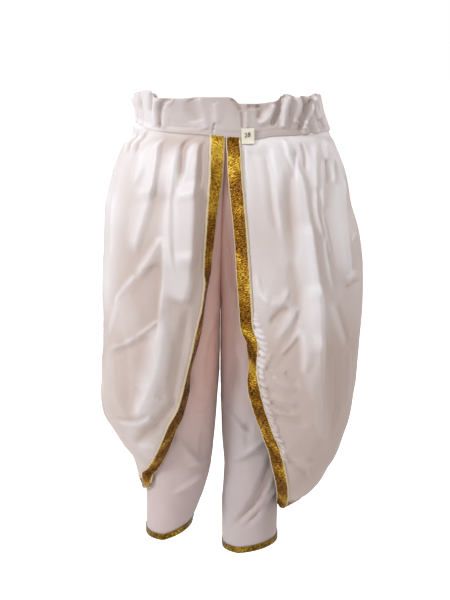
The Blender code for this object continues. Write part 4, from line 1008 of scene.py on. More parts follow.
def leg_surface(leg, across, down):
    """Points of a leg's outer face, the way round it and the lift of its creases.

    across runs from 0 to 1 round the leg; down is 0 at the waist seam, 1 at the upper line
    of the hem lace and 2 at the hem.
    """
    top = seam_under(leg, across) - LEG_TUCK_DROP
    hem_x, _ = look_up(leg, across, np.full(across.shape, leg.hem["z"]))
    low = leg.hem["z"] + leg.hem["rise"] * (hem_x - leg.hem["x"])
    low = np.maximum(low, leg.hem["lowest"])
    lace_line = low + HEM_LACE_WIDTH
    upper = np.clip(down, 0.0, 1.0)[:, None]
    under = np.clip(down - 1.0, 0.0, 1.0)[:, None]
    even = top + upper * (lace_line - top)
    level = SEAM_LEVEL + upper * (leg.hem["z"] + HEM_LACE_WIDTH - SEAM_LEVEL)
    flat = ease(1.0 - np.abs(level - CROTCH_Z) / LEVEL_ROWS_NEAR_CROTCH)
    z = even + (level - even) * flat + under * (low - lace_line)
    share = np.broadcast_to(across, z.shape)
    x, y = look_up(leg, share, z)
    nx, ny = outward(leg, share, z)
    run = share * at_level(leg, leg.length, z)
    face = np.where(y < 0, 1, -1)
    lift = np.zeros(z.shape)
    for row in leg.creases:
        height = crease_height(x, z, row, LEG_CREASE_COLUMNS, CREASE_FADE["leg"])
        lift = lift + height * (face == row[-1])
    high, wide, tall = LEG_RUMPLE
    uneven = rumple(x + LEG_SLANT * z, z + LEG_DEPTH * y, wide, tall, leg.seed)
    lift = lift + high * past(z, LEG_PLAIN_ABOVE, LEG_PLAIN_OVER) * uneven
    lift = lift * ease((z - low) / HEM_FLAT)
    # above the crotch each edge turns in to the other leg's, with a soft roll beside it
    is_open = past(z, CROTCH_Z, OPEN_OVER)
    edge = np.minimum(share, 1.0 - share) * at_level(leg, leg.length, z)
    turned = np.clip(1.0 - edge / OPEN_EDGE["turn"], 0.0, 1.0) * is_open
    lift = lift * np.clip(edge / OPEN_EDGE["flat"], 0.0, 1.0) ** is_open
    roll = np.exp(-((edge / OPEN_EDGE["roll_wide"]) ** 2))
    lift = lift + OPEN_EDGE["roll"] * roll * is_open
    x, y = x + nx * lift, y + ny * lift
    x = x + (centre_x(z) - leg.side * OPEN_EDGE["gap"] - x) * turned**2
    y = y - np.sign(y) * OPEN_EDGE["inset"] * turned**2
    x, y = drawn_in(x, y, z, ease(1.0 - (top - z) / LEG_TUCK_HEIGHT), LEG_TUCK_INSIDE)
    return np.stack([x, y, z], axis=-1), run, lift


def gather_wave(angle):
    """The waistband's gathers at each angle: 0 on the flat front, up to 1 on a crest."""
    quarter = np.arange(4 * GATHERS + 1)
    pitch = np.ones(len(quarter))
    for much, fast, start in GATHER_PITCH:
        pitch = pitch + much * np.sin(quarter * fast + start)
    run = np.concatenate([[0.0], np.cumsum(pitch[:-1])]) / pitch[:-1].sum()
    gathered = FLAT_FRONT[1] + run * (360.0 - FLAT_FRONT[1] + FLAT_FRONT[0])
    turned = np.where(angle < FLAT_FRONT[0], angle + 360.0, angle)
    q = np.interp(turned, gathered, quarter)
    crest = (0.5 + 0.5 * np.sin(np.radians(90.0 * q))) ** GATHER_ROUND * 2.0 - 1.0
    from_flat, to_flat = turned - FLAT_FRONT[1], 360.0 + FLAT_FRONT[0] - turned
    ends = ease(from_flat / GATHER_END) * ease(to_flat / GATHER_END)
    flat = (turned > FLAT_FRONT[0]) & (turned < FLAT_FRONT[1])
    much, fast = GATHER_HEIGHT
    return np.where(flat, 0.0, crest * (1.0 - much + much * np.sin(q * fast)) * ends)


def band_surface(angle, profile):
    """Points of the waistband: cloth folded over the elastic, outer face then inner face.

    profile holds, for each row, how far down the face it lies (0 top, 1 seam), how far it
    sits inside the outer face and how far it sits under the top edge.
    """
    wave = gather_wave(angle)
    c, s = np.cos(np.radians(angle)), np.sin(np.radians(angle))
    middle = WAIST["middle"]
    reach = np.where(c > 0, WAIST["left"] - middle, middle - WAIST["right"])
    guide_x, back = on_guide(middle + reach * c, -WAIST["deep"] * s)
    front_top = read(BAND_TOP, TOP_COLUMNS, "front", guide_x)
    top = front_top + (read(BAND_TOP, TOP_COLUMNS, "back", guide_x) - front_top) * back
    low = seam_z(middle + reach * c, -WAIST["deep"] * s)
    on_front = past(s, BAND_FOLDS_FROM, BAND_FOLDS_OVER)
    rows, lifts = [], []
    for f, inside, under in profile:
        z = top - under + f * (low - top + under)
        form = {name: read(BAND_SECTIONS, BAND_COLUMNS, name, z) for name in BAND_COLUMNS}
        half_x = np.where(c > 0, form["left"] - middle, middle - form["right"])
        half_y = np.where(s > 0, form["front"], form["back"])
        down = min(f / GATHER_LOW, 1.0)
        lift = wave * (GATHER_DEPTH + (SEAM_GATHER_DEPTH - GATHER_DEPTH) * down)
        x, y = middle + half_x * c, -half_y * s
        for row in BAND_FOLDS:
            height = crease_height(x, z, row, BAND_FOLD_COLUMNS, CREASE_FADE["band"])
            lift = lift + on_front * height
        high, wide, tall = BAND_RUMPLE
        uneven = rumple(angle * BAND_GIRTH, z, wide, tall, BAND_SEED)
        lift = lift + high * uneven * ease((1.0 - f) / BAND_PLAIN)
        stitched = np.exp(-((z - low - STITCH_LINES[1]) / STITCH_DENT["wide"]) ** 2)
        lift = lift - STITCH_DENT["deep"] * stitched
        nx, ny = c / half_x, -s / half_y
        size = np.hypot(nx, ny)
        out = lift - inside
        rows.append(np.stack([x + nx / size * out, y + ny / size * out, z], axis=-1))
        lifts.append(lift)
    return np.array(rows), np.array(lifts)


def normals(grid, side):
    """Unit normals of a grid's points, pointing away from the leg."""
    across = np.gradient(grid, axis=1)
    down = np.gradient(grid, axis=0)
    n = np.cross(down, across) * side
    return n / (np.linalg.norm(n, axis=-1, keepdims=True) + 1e-12)


def path(line):
    """Distance along a line of points, from its first point to each."""
    return np.concatenate([[0.0], np.cumsum(np.linalg.norm(np.diff(line, axis=0), axis=-1))])


# ------------------------------------------------------------------ painted light and shade of the cloth
def amount(value, row):
    """A row's amount, coming in where value passes the row's place."""
    return row[0] * past(value, row[1], row[2])


def leg_shade(leg, z, lift):
    """Painted light on a leg: pink where thin cloth between the drapes is lit through, white at
    the calf.
    """
    return LEG_FOLD_SHADE * lift + LEG_SHADE + amount(z, CALF_SHADE[leg.side])


def drape_shade(drape, z, run, lift):
    """Painted light and shade on a drape, lighter on its crests: the left drape is painted lighter
    high up and duller low down; on the right one the strip beside the lace and the front are
    painted darker and the outer flank lighter high up; hidden sides are painted plainer."""
    ahead = at_level(drape, drape.side_run, z) - run
    shade = np.minimum(lift, CREST)
    if drape.side > 0:
        for row in LEFT_SHADE:
            shade = shade + amount(z, row)
    else:
        flank = past(ahead, *RIGHT_FLANK)
        strip = at_level(drape, drape.strip, z)
        beside = ease(1.0 - (run - strip - BESIDE_LACE["wide"]) / BESIDE_LACE["over"])
        shade = shade + flank * (amount(z, RIGHT_FLANK_SHADE) - RIGHT_FLANK_LESS)
        shade = shade + (1.0 - flank) * amount(z, RIGHT_FRONT_SHADE)
        shade = shade + beside * amount(z, BESIDE_LACE_SHADE)
    plain = HIDDEN_SHADE["plain"] + HIDDEN_SHADE["fold"] * lift
    if drape.side > 0:
        plain = plain + amount(z, HIDDEN_SHADE["low"])
    return shade + past(ahead, *HIDDEN) * (plain - shade)


# ------------------------------------------------------------------ cloth pieces
def placed(name, data):
    """An object for a mesh, light or camera, in the scene."""
    made = bpy.data.objects.new(name, data)
    bpy.context.scene.collection.objects.link(made)
    return made


def mesh_from(name, bm):
    """A finished bmesh, as a mesh."""
    mesh = bpy.data.meshes.new(name)
    bm.to_mesh(mesh)
    bm.free()
    return mesh


def cloth(
    name, points, u, v, side, painted_light_and_shade=None, thickness=SATIN_THICKNESS, ring=False, join=False,
):
    """A piece of cloth: a grid whose every vertex is moved to its place on the form.

    u and v are the way across and along the cloth in millimetres, for its weave.  The painted
    light and shade of each point is a value that its material may read.  ring joins the first
    and last columns all along, join only where they meet.
    """
    rows, columns = points.shape[:2]
    bm = bmesh.new()
    bmesh.ops.create_grid(bm, x_segments=columns - 1, y_segments=rows - 1, size=1.0)
    place = np.array([vert.co[:2] for vert in bm.verts])
    j = np.rint((place[:, 0] + 1.0) / 2.0 * (columns - 1)).astype(int)
    i = np.rint((1.0 - place[:, 1]) / 2.0 * (rows - 1)).astype(int)
    bm.verts.index_update()
    weave = bm.loops.layers.uv.new("Weave")
    shade = bm.verts.layers.float.new("painted_light_and_shade")
    for vert, a, b in zip(bm.verts, i, j):
        vert.co = points[a, b] * MM
        vert[shade] = 0.0 if painted_light_and_shade is None else float(painted_light_and_shade[a, b])
    uv = np.stack([u, v], axis=-1)
    for face in bm.faces:
        face.smooth = True
        for loop in face.loops:
            k = loop.vert.index
            loop[weave].uv = uv[i[k], j[k]] * MM
    if side < 0:
        bmesh.ops.reverse_faces(bm, faces=bm.faces)
    if ring or join:
        ends = [vert for vert, b in zip(bm.verts, j) if b in (0, columns - 1)]
        bmesh.ops.remove_doubles(bm, verts=ends, dist=JOIN_WITHIN * MM)
    piece = placed(name, mesh_from(name, bm))
    if thickness:
        solid = piece.modifiers.new("Cloth thickness", "SOLIDIFY")
        solid.thickness = thickness * MM
        solid.offset = -1.0
    return piece


def finish(piece, look, node=None):
    """Give a piece its finish, put it on the body and let it stand for its solid."""
    piece.data.materials.append(look)
    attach(piece, "root")
    if node:
        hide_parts(node)
    return piece


# ------------------------------------------------------------------ finishes
def srgb(code):
    """A colour written as sRGB hex, as linear values."""
    parts = [int(code[k:k + 2], 16) / 255.0 for k in (0, 2, 4)]
    linear = [p / 12.92 if p <= 0.04045 else ((p + 0.055) / 1.055) ** 2.4 for p in parts]
    return (*linear, 1.0)


def add(tree, kind, links=(), out=0, **settings):
    """Add a node; links gives each socket a value or another node's output."""
    made = tree.nodes.new("ShaderNode" + kind)
    for name, value in settings.items():
        setattr(made, name, value)
    for socket, value in dict(links).items():
        if isinstance(value, bpy.types.NodeSocket):
            tree.links.new(value, made.inputs[socket])
        else:
            made.inputs[socket].default_value = value
    return made.outputs[out]


def new_finish(name, roughness, ior=1.5, metallic=0.0):
    """A material with its shader's constant values set."""
    look = bpy.data.materials.new(name)
    look.use_nodes = True
    tree = look.node_tree
    shader = tree.nodes["Principled BSDF"]
    shader.inputs["Roughness"].default_value = roughness
    shader.inputs["IOR"].default_value = ior
    shader.inputs["Metallic"].default_value = metallic
    return look, tree, shader


def woven_satin(name, crest, hollow):
    """Polyester satin, woven: long warp floats that catch the light in soft streaks.

    Its colour is painted between the crest colour and a warmer hollow colour by each point's
    painted light and shade, so its hollows look warmer than its crests.
    """
    look, tree, shader = new_finish(name, 0.46)
    shader.inputs["Specular IOR Level"].default_value = 0.42
    shader.inputs["Sheen Weight"].default_value = 0.12
    shader.inputs["Sheen Roughness"].default_value = 0.45
    shader.inputs["Anisotropic"].default_value = 0.45
    uv = add(tree, "UVMap", uv_map="Weave")
    # each point's painted light and shade, set by the pieces, picks the colour between hollow and
    # crest
    painted_light_and_shade = add(tree, "Attribute", out=2, attribute_name="painted_light_and_shade")
    painted_lightness = add(tree, "MapRange", {"Value": painted_light_and_shade, "From Min": -3.0, "From Max": 4.0})
    # patches the size of a hand's width, where the dye and the press differ a little
    patch = add(tree, "TexNoise", {"Vector": uv, "Scale": 14.0, "Detail": 3.0})
    soft = add(tree, "Math", {0: patch, 1: 0.35, 2: -0.175}, operation="MULTIPLY_ADD")
    mixed = add(tree, "Math", {0: painted_lightness, 1: soft}, operation="ADD", use_clamp=True)
    colour = add(
        tree, "Mix", {0: mixed, 6: srgb(hollow), 7: srgb(crest)}, out=2, data_type="RGBA",
    )
    tree.links.new(colour, shader.inputs["Base Color"])
    # floats are 0.1 mm apart, drawn 0.9 mm apart so that they show
    streak = add(tree, "Mapping", {"Vector": uv, "Scale": (1100.0, 60.0, 1.0)})
    floats = add(tree, "TexNoise", {"Vector": streak, "Scale": 1.0, "Detail": 2.0})
    # wear puts soft dents 6 mm across in it
    dents = add(tree, "TexNoise", {"Vector": uv, "Scale": 160.0, "Detail": 4.0, "Roughness": 0.55})
    low = add(tree, "Bump", {"Height": dents, "Strength": 0.22, "Distance": 0.0012})
    fine = add(
        tree, "Bump", {"Height": floats, "Strength": 0.10, "Distance": 0.0004, "Normal": low},
    )
    tree.links.new(fine, shader.inputs["Normal"])
    rough = add(
        tree, "MapRange",
        {"Value": floats, "From Min": 0.3, "From Max": 0.7, "To Min": 0.40, "To Max": 0.54},
    )
    tree.links.new(rough, shader.inputs["Roughness"])
    tangent = add(tree, "Tangent", direction_type="UV_MAP", uv_map="Weave")
    tree.links.new(tangent, shader.inputs["Tangent"])
    return look


def zari_lace(name, width, colours, edge):
    """Woven lace of gold-coloured metallic yarn: slanting floats over a brown ground.

    The floats lie at a slant, so the lace glitters in short strokes; whole patches, and the
    places that the pieces give, are painted lighter as painted highlights.
    """
    look, tree, shader = new_finish(name, 0.4, metallic=0.8)
    uv = add(tree, "UVMap", uv_map="Weave")
    axes = add(tree, "SeparateXYZ", {0: uv}).node
    across = add(tree, "Math", {0: axes.outputs[0], 1: 1000.0}, operation="MULTIPLY")
    along_lace = add(tree, "Math", {0: axes.outputs[1], 1: 1000.0}, operation="MULTIPLY")
    # a float is about 1 mm wide, up to 4 mm long and climbs away from the free edge
    slant = add(tree, "Math", {0: across, 1: 0.8}, operation="MULTIPLY")
    slanted = add(tree, "Math", {0: along_lace, 1: slant}, operation="ADD")
    bed = add(tree, "CombineXYZ", {0: slanted, 1: across})
    bed = add(tree, "Mapping", {"Vector": bed, "Scale": (0.9, 0.3, 1.0)})
    loose = add(tree, "TexNoise", {"Vector": bed, "Scale": 1.0, "Detail": 1.5})
    streak = add(tree, "MapRange", {"Value": loose, "From Min": 0.38, "From Max": 0.6})
    # an even rib of the weave every 2.6 mm
    phase = add(tree, "Math", {0: slanted, 1: 2.0 * math.pi / 2.6}, operation="MULTIPLY")
    wave = add(tree, "Math", {0: phase}, operation="SINE")
    even = add(tree, "MapRange", {"Value": wave, "From Min": -1.0, "To Max": 0.14})
    # painted highlights in patches 20 mm long, standing in for the lace tilting to the light
    tilt = add(tree, "TexNoise", {"Vector": uv, "Scale": 34.0, "Detail": 1.0})
    patch = add(
        tree, "MapRange", {"Value": tilt, "From Min": 0.48, "From Max": 0.72, "To Max": 0.42},
    )
    glint = add(tree, "Math", {0: streak, 1: 0.56}, operation="MULTIPLY")
    # the painted highlights that the pieces give each point
    lit = add(tree, "Attribute", out=2, attribute_name="painted_light_and_shade")
    for more in (even, patch, lit):
        glint = add(tree, "Math", {0: glint, 1: more}, operation="ADD")
    ramp = add(tree, "ValToRGB", {0: glint}).node
    steps = ramp.color_ramp.elements
    steps[0].position, steps[1].position = 0.1, 1.0
    steps.new(0.42)
    steps.new(0.72)
    for stop, colour in zip(steps, colours):
        stop.color = srgb(colour)
    # the selvedges: a cream picot thread along each side
    centred = add(tree, "Math", {0: across, 1: width / 2.0}, operation="SUBTRACT")
    away = add(tree, "Math", {0: centred}, operation="ABSOLUTE")
    selvedge = add(
        tree, "MapRange",
        {"Value": away, "From Min": width / 2.0 - 1.2, "From Max": width / 2.0 - 0.9},
    )
    colour = add(
        tree, "Mix", {0: selvedge, 6: ramp.outputs[0], 7: srgb(edge)}, out=2, data_type="RGBA",
    )
    tree.links.new(colour, shader.inputs["Base Color"])
    # where the painted highlight is strong the finish is less metallic, so the yarn shows pale all
    # over
    painted_glint_metal = add(tree, "MapRange", {"Value": lit, "To Min": 0.8, "To Max": 0.35})
    metal = add(tree, "MapRange", {"Value": selvedge, "To Min": painted_glint_metal, "To Max": 0.0})
    tree.links.new(metal, shader.inputs["Metallic"])
    rough = add(tree, "MapRange", {"Value": streak, "To Min": 0.5, "To Max": 0.28})
    tree.links.new(rough, shader.inputs["Roughness"])
    ribs = add(tree, "Bump", {"Height": streak, "Strength": 0.5, "Distance": 0.0006})
    tree.links.new(ribs, shader.inputs["Normal"])
    return look


def woven_tape(name, colour):
    """Cotton label tape, woven: matt, with fine ribs across it."""
    look, tree, shader = new_finish(name, 0.75)
    uv = add(tree, "UVMap", uv_map="Weave")
    shader.inputs["Base Color"].default_value = srgb(colour)
    # fine ribs, drawn as coarse as they need to show
    ribs = add(
        tree, "TexWave", {"Vector": uv, "Scale": 400.0, "Distortion": 0.6},
        bands_direction="Y",
    )
    bump = add(tree, "Bump", {"Height": ribs, "Strength": 0.3, "Distance": 0.0002})
    tree.links.new(bump, shader.inputs["Normal"])
    return look


def mottled(name, colour, roughness, grain, detail, darkest, palest):
    """A plain colour that varies a little in fine grains: spun thread or printed ink."""
    look, tree, shader = new_finish(name, roughness)
    place = add(tree, "TexCoord", out=3)
    grains = add(tree, "TexNoise", {"Vector": place, "Scale": grain, "Detail": detail})
    tint = add(tree, "MapRange", {"Value": grains, "To Min": darkest, "To Max": palest})
    base = add(
        tree, "Mix", {0: 1.0, 6: srgb(colour), 7: tint}, out=2, data_type="RGBA",
        blend_type="MULTIPLY",
    )
    tree.links.new(base, shader.inputs["Base Color"])
    return look


# ------------------------------------------------------------------ the garment
def raised_lace(name, points, side, u, v, painted_light_and_shade=None, ring=False):
    """A lace on the cloth under it, moved out by the gap and its own thickness."""
    raised = points + normals(points, side) * (SEAM_GAP + LACE_THICKNESS)
    if ring:
        raised[:, -1] = raised[:, 0]
    u, v = np.broadcast_to(u, points.shape[:2]), np.broadcast_to(v, points.shape[:2])
    return cloth(name, raised, u, v, side, painted_light_and_shade, thickness=LACE_THICKNESS, ring=ring)


def make_leg(name, leg, looks):
    """One inner leg with the lace round its hem."""
    # the columns stand close together at the leg's centre seam
    even = np.linspace(0.0, 1.0, LEG_COLUMNS_FINE)
    across = even - CLOSE_AT_CENTRE * np.sin(2 * np.pi * even)
    down = np.concatenate([
        np.linspace(0.0, 1.0, LEG_ROWS_FINE, endpoint=False),
        np.linspace(1.0, 2.0, EDGE_ROWS_FINE),
    ])
    points, run, lift = leg_surface(leg, across, down)
    z = points[..., 2]
    # the satin's painted light and shade, from leg_shade
    shade = leg_shade(leg, z, lift)
    trouser = cloth(f"leg_{name}_satin", points, run, -z, leg.side, shade, join=True)
    finish(trouser, looks["leg"], f"inner_leg_{name}")

    across = np.linspace(0.0, 1.0, HEM_LACE_COLUMNS)
    down = np.linspace(1.0, 2.0, HEM_LACE_ROWS)
    points, run, _ = leg_surface(leg, across, down)
    hem_lace = raised_lace(
        f"hem_lace_{name}", points, leg.side, (down - 1.0)[:, None] * HEM_LACE_WIDTH, run[-1],
        ring=True,
    )
    finish(hem_lace, looks["hem_lace"], f"hem_border_{name}")
    return {"trouser": trouser, "hem_lace": hem_lace}


def make_drape(name, drape, looks):
    """One drape with the lace down its front edge and along its lower edge."""
    even = np.linspace(0.0, 1.0, DRAPE_COLUMNS_FINE)
    across = np.concatenate([
        np.linspace(0.0, 1.0, STRIP_COLUMNS_FINE, endpoint=False),
        1.0 + even - CLOSE_AT_FRONT * np.sin(np.pi * even),
    ])
    down = np.concatenate([
        np.linspace(0.0, 1.0, DRAPE_ROWS_FINE, endpoint=False),
        np.linspace(1.0, 2.0, EDGE_ROWS_FINE),
    ])
    points, run, lift = drape_surface(drape, across, down)
    z = points[..., 2]
    # the satin's painted light and shade, from drape_shade
    panel = cloth(
        f"drape_{name}_satin", points, run, -z, drape.side, drape_shade(drape, z, run, lift),
    )
    finish(panel, looks["drape"], f"drape_{name}")

    # the lace has its own close rows; its last column laps over the drape beyond its line
    down = np.linspace(0.0, 2.0, int((-points[-1, 0, 2]) / LACE_PITCH))
    width = np.linspace(0.0, 1.0, LACE_COLUMNS)
    across = np.append(width[:-1], 1.0 + LACE_LAP / drape.length.mean())
    points, _, _ = drape_surface(drape, across, down)
    v = path(points[:, LACE_COLUMNS // 2])[:, None]
    # painted highlights along the lace: over its upper part and at the listed glints
    glint = UPPER_GLINT[drape.side] * past(points[..., 2], UPPER_FROM, UPPER_OVER)
    for at, reach, high in GLINTS[drape.side]:
        glint = glint + high * np.exp(-((v - at) / reach) ** 2)
    front_lace = raised_lace(
        f"lace_front_{name}", points, drape.side, width * LACE_WIDTH, v, glint,
    )
    finish(front_lace, looks["lace"], f"border_{name}")

    across = np.linspace(1.0, 2.0, LOW_LACE_COLUMNS)
    down = np.linspace(1.0, 2.0, LACE_COLUMNS)
    points, run, _ = drape_surface(drape, across, down)
    low_lace = raised_lace(
        f"lace_low_{name}", points, drape.side, (2.0 - down)[:, None] * LACE_WIDTH, run[-1],
    )
    finish(low_lace, looks["lace"])
    return {"panel": panel, "laces": [front_lace, low_lace]}


def pucker_strip(drape, looks):
    """The turned hem beside the left lace, drawn up into uneven puckers by its stitches."""
    rows = int((PUCKER["top"] - PUCKER["low"]) / PUCKER_ROW)
    heights = np.linspace(PUCKER["top"], PUCKER["low"], rows)
    reference = np.linspace(0.0, 1.0, PUCKER_PLACES)
    line, _, _ = drape_surface(drape, np.array([1.0]), reference)
    down = np.interp(-heights, -line[:, 0, 2], reference)
    girth = at_level(drape, drape.length - drape.strip, heights).mean()
    out = np.linspace(-PUCKER["lap"], PUCKER["wide"], PUCKER_COLUMNS)
    points, run, _ = drape_surface(drape, 1.0 + out / girth, down)
    way = path(points[:, 3])
    draw = np.random.default_rng(PUCKER_SEED)
    bumps = np.zeros(run.shape)
    place = PUCKER["pitch"]
    while place < way[-1]:
        middle, half, slant, high = draw.uniform(LEAST_PUCKER, MOST_PUCKER)
        a = out[None, :] - middle
        c = way[:, None] - place - slant * a
        near = 1.0 - (c / (PUCKER["long"] * PUCKER["pitch"])) ** 2 - (a / half) ** 2
        bumps = np.maximum(bumps, high * ease(near))
        place += PUCKER["pitch"] * draw.uniform(*PUCKER_SPACING)
    from_top, from_end, from_side = PUCKER_FADES
    fade = (ease(way / from_top) * ease((way[-1] - way) / from_end))[:, None]
    outer = ease((PUCKER["wide"] - out) / from_side)[None, :]
    lift = PUCKER["sunk"] + fade * outer * (PUCKER["rise"] + PUCKER["deep"] * bumps)
    raised = points + normals(points, drape.side) * lift[..., None]
    # painted light on the puckers, painted shade between them and lower down the strip
    shade = lift * PUCKER_SHADE["fold"] + PUCKER_SHADE["plain"]
    shade = shade + amount(points[..., 2], PUCKER_SHADE["low"])
    v = np.broadcast_to(way[:, None], run.shape)
    piece = cloth("pucker_strip_left", raised, run, v, drape.side, shade, PUCKER["thick"])
    return finish(piece, looks["drape"])


def stitch_row(name, line, middle, looks):
    """A row of stitches along a line, each a short bead of thread."""
    run = path(line)
    pitch = STITCH["long"] + STITCH["gap"]
    begin = np.arange(0.0, run[-1] - pitch, pitch)
    starts, stops = (
        np.stack([np.interp(at, run, line[:, k]) for k in range(3)], axis=-1)
        for at in (begin, begin + STITCH["long"])
    )
    away = (starts - np.array([middle, 0.0, 0.0])) * np.array([1.0, 1.0, 0.0])
    away = away / np.linalg.norm(away, axis=-1, keepdims=True)
    bm = bmesh.new()
    for start, stop, out in zip(starts, stops, away):
        bead = bmesh.ops.create_icosphere(bm, subdivisions=1, radius=0.5)["verts"]
        way = Vector(stop - start)
        turn = way.to_track_quat("X", "Z").to_matrix()
        centre = Vector((start + stop) / 2.0 + out * STITCH["out"])
        size = Vector((way.length, STITCH["thick"], STITCH["thick"]))
        for vert in bead:
            local = Vector(vert.co[k] * size[k] for k in range(3))
            vert.co = (turn @ local + centre) * MM
    for face in bm.faces:
        face.smooth = True
    return finish(placed(name, mesh_from(name, bm)), looks["thread"])


def make_band(looks):
    """The waistband and its two rows of stitches."""
    angle = np.linspace(0.0, 360.0, BAND_COLUMNS_FINE + 1)
    half = BAND_WALL / 2.0
    outer = [(f, 0.0, half) for f in np.linspace(BAND_LOW, 0.0, BAND_OUTER_ROWS)]
    turn = [
        (0.0, half * (1.0 - math.cos(t)), half * (1.0 - math.sin(t)))
        for t in np.linspace(0.0, math.pi, BAND_TURN_ROWS)[1:-1]
    ]
    inner = [(f, BAND_WALL, half) for f in np.linspace(0.0, 1.0, BAND_INNER_ROWS)]
    profile = outer + turn + inner + [outer[0]]
    points, lift = band_surface(angle, profile)
    u = np.broadcast_to(path(points[BAND_OUTER_ROWS - 1]), lift.shape)
    v = np.broadcast_to(BAND_ROW_STEP * np.arange(len(profile))[:, None], lift.shape)
    # painted light and shade: lighter on the band's crests and gathered sides, darker in its
    # hollows and on its flat front
    shade = lift + BAND_SHADE
    for row in BAND_SIDE_SHADES:
        shade = shade + amount(points[..., 0], row)
    band = cloth("waistband_satin", points, u, v, 1, shade, thickness=0, ring=True)
    finish(band, looks["band"], "waistband")

    # each row of stitches runs at a fixed part of the band's height, near the seam
    ends, _ = band_surface(angle, [(1.0, 0.0, half), (0.0, 0.0, half)])
    tall = ends[1, :, 2] - ends[0, :, 2]
    rows = []
    for number, height in enumerate(STITCH_LINES):
        part = (height / tall).mean()
        line = band_surface(angle, [(1.0 - part, 0.0, half)])[0][0]
        rows.append(stitch_row(f"waist_stitches_{number}", line, WAIST["middle"], looks))
    return band, rows, points[:BAND_OUTER_ROWS][::-1]


def front_y(grid, x, z):
    """y of a surface's front face at x and z: the foremost of its nearest points."""
    flat = grid.reshape(-1, 3)
    flat = flat[flat[:, 1] < FRONT_FACE]
    order = np.argsort(np.hypot(flat[:, 0] - x, flat[:, 2] - z))[:NEAREST]
    return flat[order, 1].min()


def make_label(band_points, drape_points, looks):
    """The size label, hung from the seam in front of the band and the drape."""
    half = LABEL["wide"] / 2.0
    across = np.linspace(LABEL["x"] - half, LABEL["x"] + half, TAPE_COLUMNS)
    down = np.linspace(LABEL["top"], LABEL["top"] - LABEL["tall"], TAPE_ROWS)
    under = np.array([
        [min(front_y(band_points, x, z), front_y(drape_points, x, z)) for x in across]
        for z in down
    ])
    # a tape is stiff: it lies on the highest places under it
    foremost = under.min(axis=1, keepdims=True)
    hung = np.minimum.accumulate(under, axis=0)
    y = hung * (1.0 - TAPE_STIFF) + foremost * TAPE_STIFF - TAPE["out"]
    t = np.linspace(0.0, 1.0, TAPE_ROWS)[:, None]
    s = np.linspace(-1.0, 1.0, TAPE_COLUMNS)[None, :]
    y = y - TAPE["bow"] * np.sin(np.pi * t) - TAPE["twist"] * t * s
    u = np.broadcast_to(across[None, :], y.shape)
    v = np.broadcast_to(down[:, None], y.shape)
    points = np.stack([u + TAPE["lean"] * t, y, v + TAPE["skew"] * s], axis=-1)
    tag = cloth("label_tape", points, u, v, 1, thickness=TAPE["thick"])
    finish(tag, looks["tape"], "size_label")

    curve = bpy.data.curves.new("label_number", "FONT")
    curve.body = NUMBER["text"]
    curve.size = NUMBER["tall"] * MM
    curve.extrude = NUMBER["thick"] * MM
    curve.align_x = "CENTER"
    curve.align_y = "CENTER"
    text = placed("label_number", curve)
    bpy.context.view_layer.update()
    mesh = bpy.data.meshes.new_from_object(text)
    bpy.data.objects.remove(text)
    number = placed("label_number", mesh)
    centre_x_of_text = LABEL["x"] - NUMBER["left"]
    centre_y = points[int(TAPE_ROWS * NUMBER["down"]), TAPE_COLUMNS // 2, 1] - NUMBER["out"]
    centre_z = LABEL["top"] - LABEL["tall"] * NUMBER["down"]
    for vert in mesh.vertices:
        x, up, out = vert.co / MM
        vert.co = Vector((
            centre_x_of_text + x, centre_y - out, centre_z + up + NUMBER["tilt"] * x,
        )) * MM
    finish(number, looks["ink"])
    return tag, number


# ------------------------------------------------------------------ all the pieces
looks = {
    # each satin's crest colour, then the warmer hollow colour that its painted shade goes to
    "drape": woven_satin("White polyester satin", "eeebee", "c9b9b1"),
    "band": woven_satin("White polyester satin, gathered", "ebe5e7", "bdafa9"),
    "leg": woven_satin("White polyester satin, single layer", "c1b7b7", "ecc3b8"),
    # each lace's colours run from its brown ground to its gold floats, the palest also taking its
    # painted highlights, then the selvedge's colour
    "lace": zari_lace(
        "Gold zari lace, woven", LACE_WIDTH, ("2c1803", "6e4506", "a8720a", "f0cc48"), "e0cfac",
    ),
    "hem_lace": zari_lace(
        "Gold zari hem lace, woven", HEM_LACE_WIDTH, ("3a2806", "74560c", "a8841a", "dcbc4c"),
        "7c5e1c",
    ),
    "tape": woven_tape("Cream cotton label tape, woven", "efe9d8"),
    # polyester sewing thread, spun: dull, with fine darker grains
    "thread": mottled("White sewing thread, spun", "f4f2f2", 0.6, 900.0, 1.0, 0.86, 1.0),
    # the size number, printed: matt dark ink, a little uneven
    "ink": mottled("Dark label ink, printed", "4a463e", 0.7, 1500.0, 2.0, 0.8, 1.3),
}
# side is -1 on the wearer's right and 1 on the left
right_cut = {
    "side": -1, "seed": -9.0, "leg": RIGHT_LEG, "hem": RIGHT_HEM, "drape": RIGHT_DRAPE,
    "edge": RIGHT_EDGE, "pleats": RIGHT_PLEATS, "folds": RIGHT_FOLDS,
    "creases": RIGHT_CREASES, "leg_creases": RIGHT_LEG_CREASES,
}
left_cut = {
    "side": 1, "seed": 31.0, "leg": LEFT_LEG, "hem": LEFT_HEM, "drape": LEFT_DRAPE,
    "edge": LEFT_EDGE, "pleats": LEFT_PLEATS, "folds": LEFT_FOLDS,
    "creases": LEFT_CREASES, "leg_creases": LEFT_LEG_CREASES,
}
right_leg = Leg(right_cut)
right = make_leg("right", right_leg, looks)
right.update(make_drape("right", Drape(right_leg, right_cut), looks))
left_leg = Leg(left_cut)
left_drape = Drape(left_leg, left_cut)
left = make_leg("left", left_leg, looks)
left.update(make_drape("left", left_drape, looks))
puckers = pucker_strip(left_drape, looks)
band, stitch_rows, band_points = make_band(looks)
drape_points = np.array([vert.co[:] for vert in left["panel"].data.vertices]) / MM
label, number = make_label(band_points, drape_points, looks)

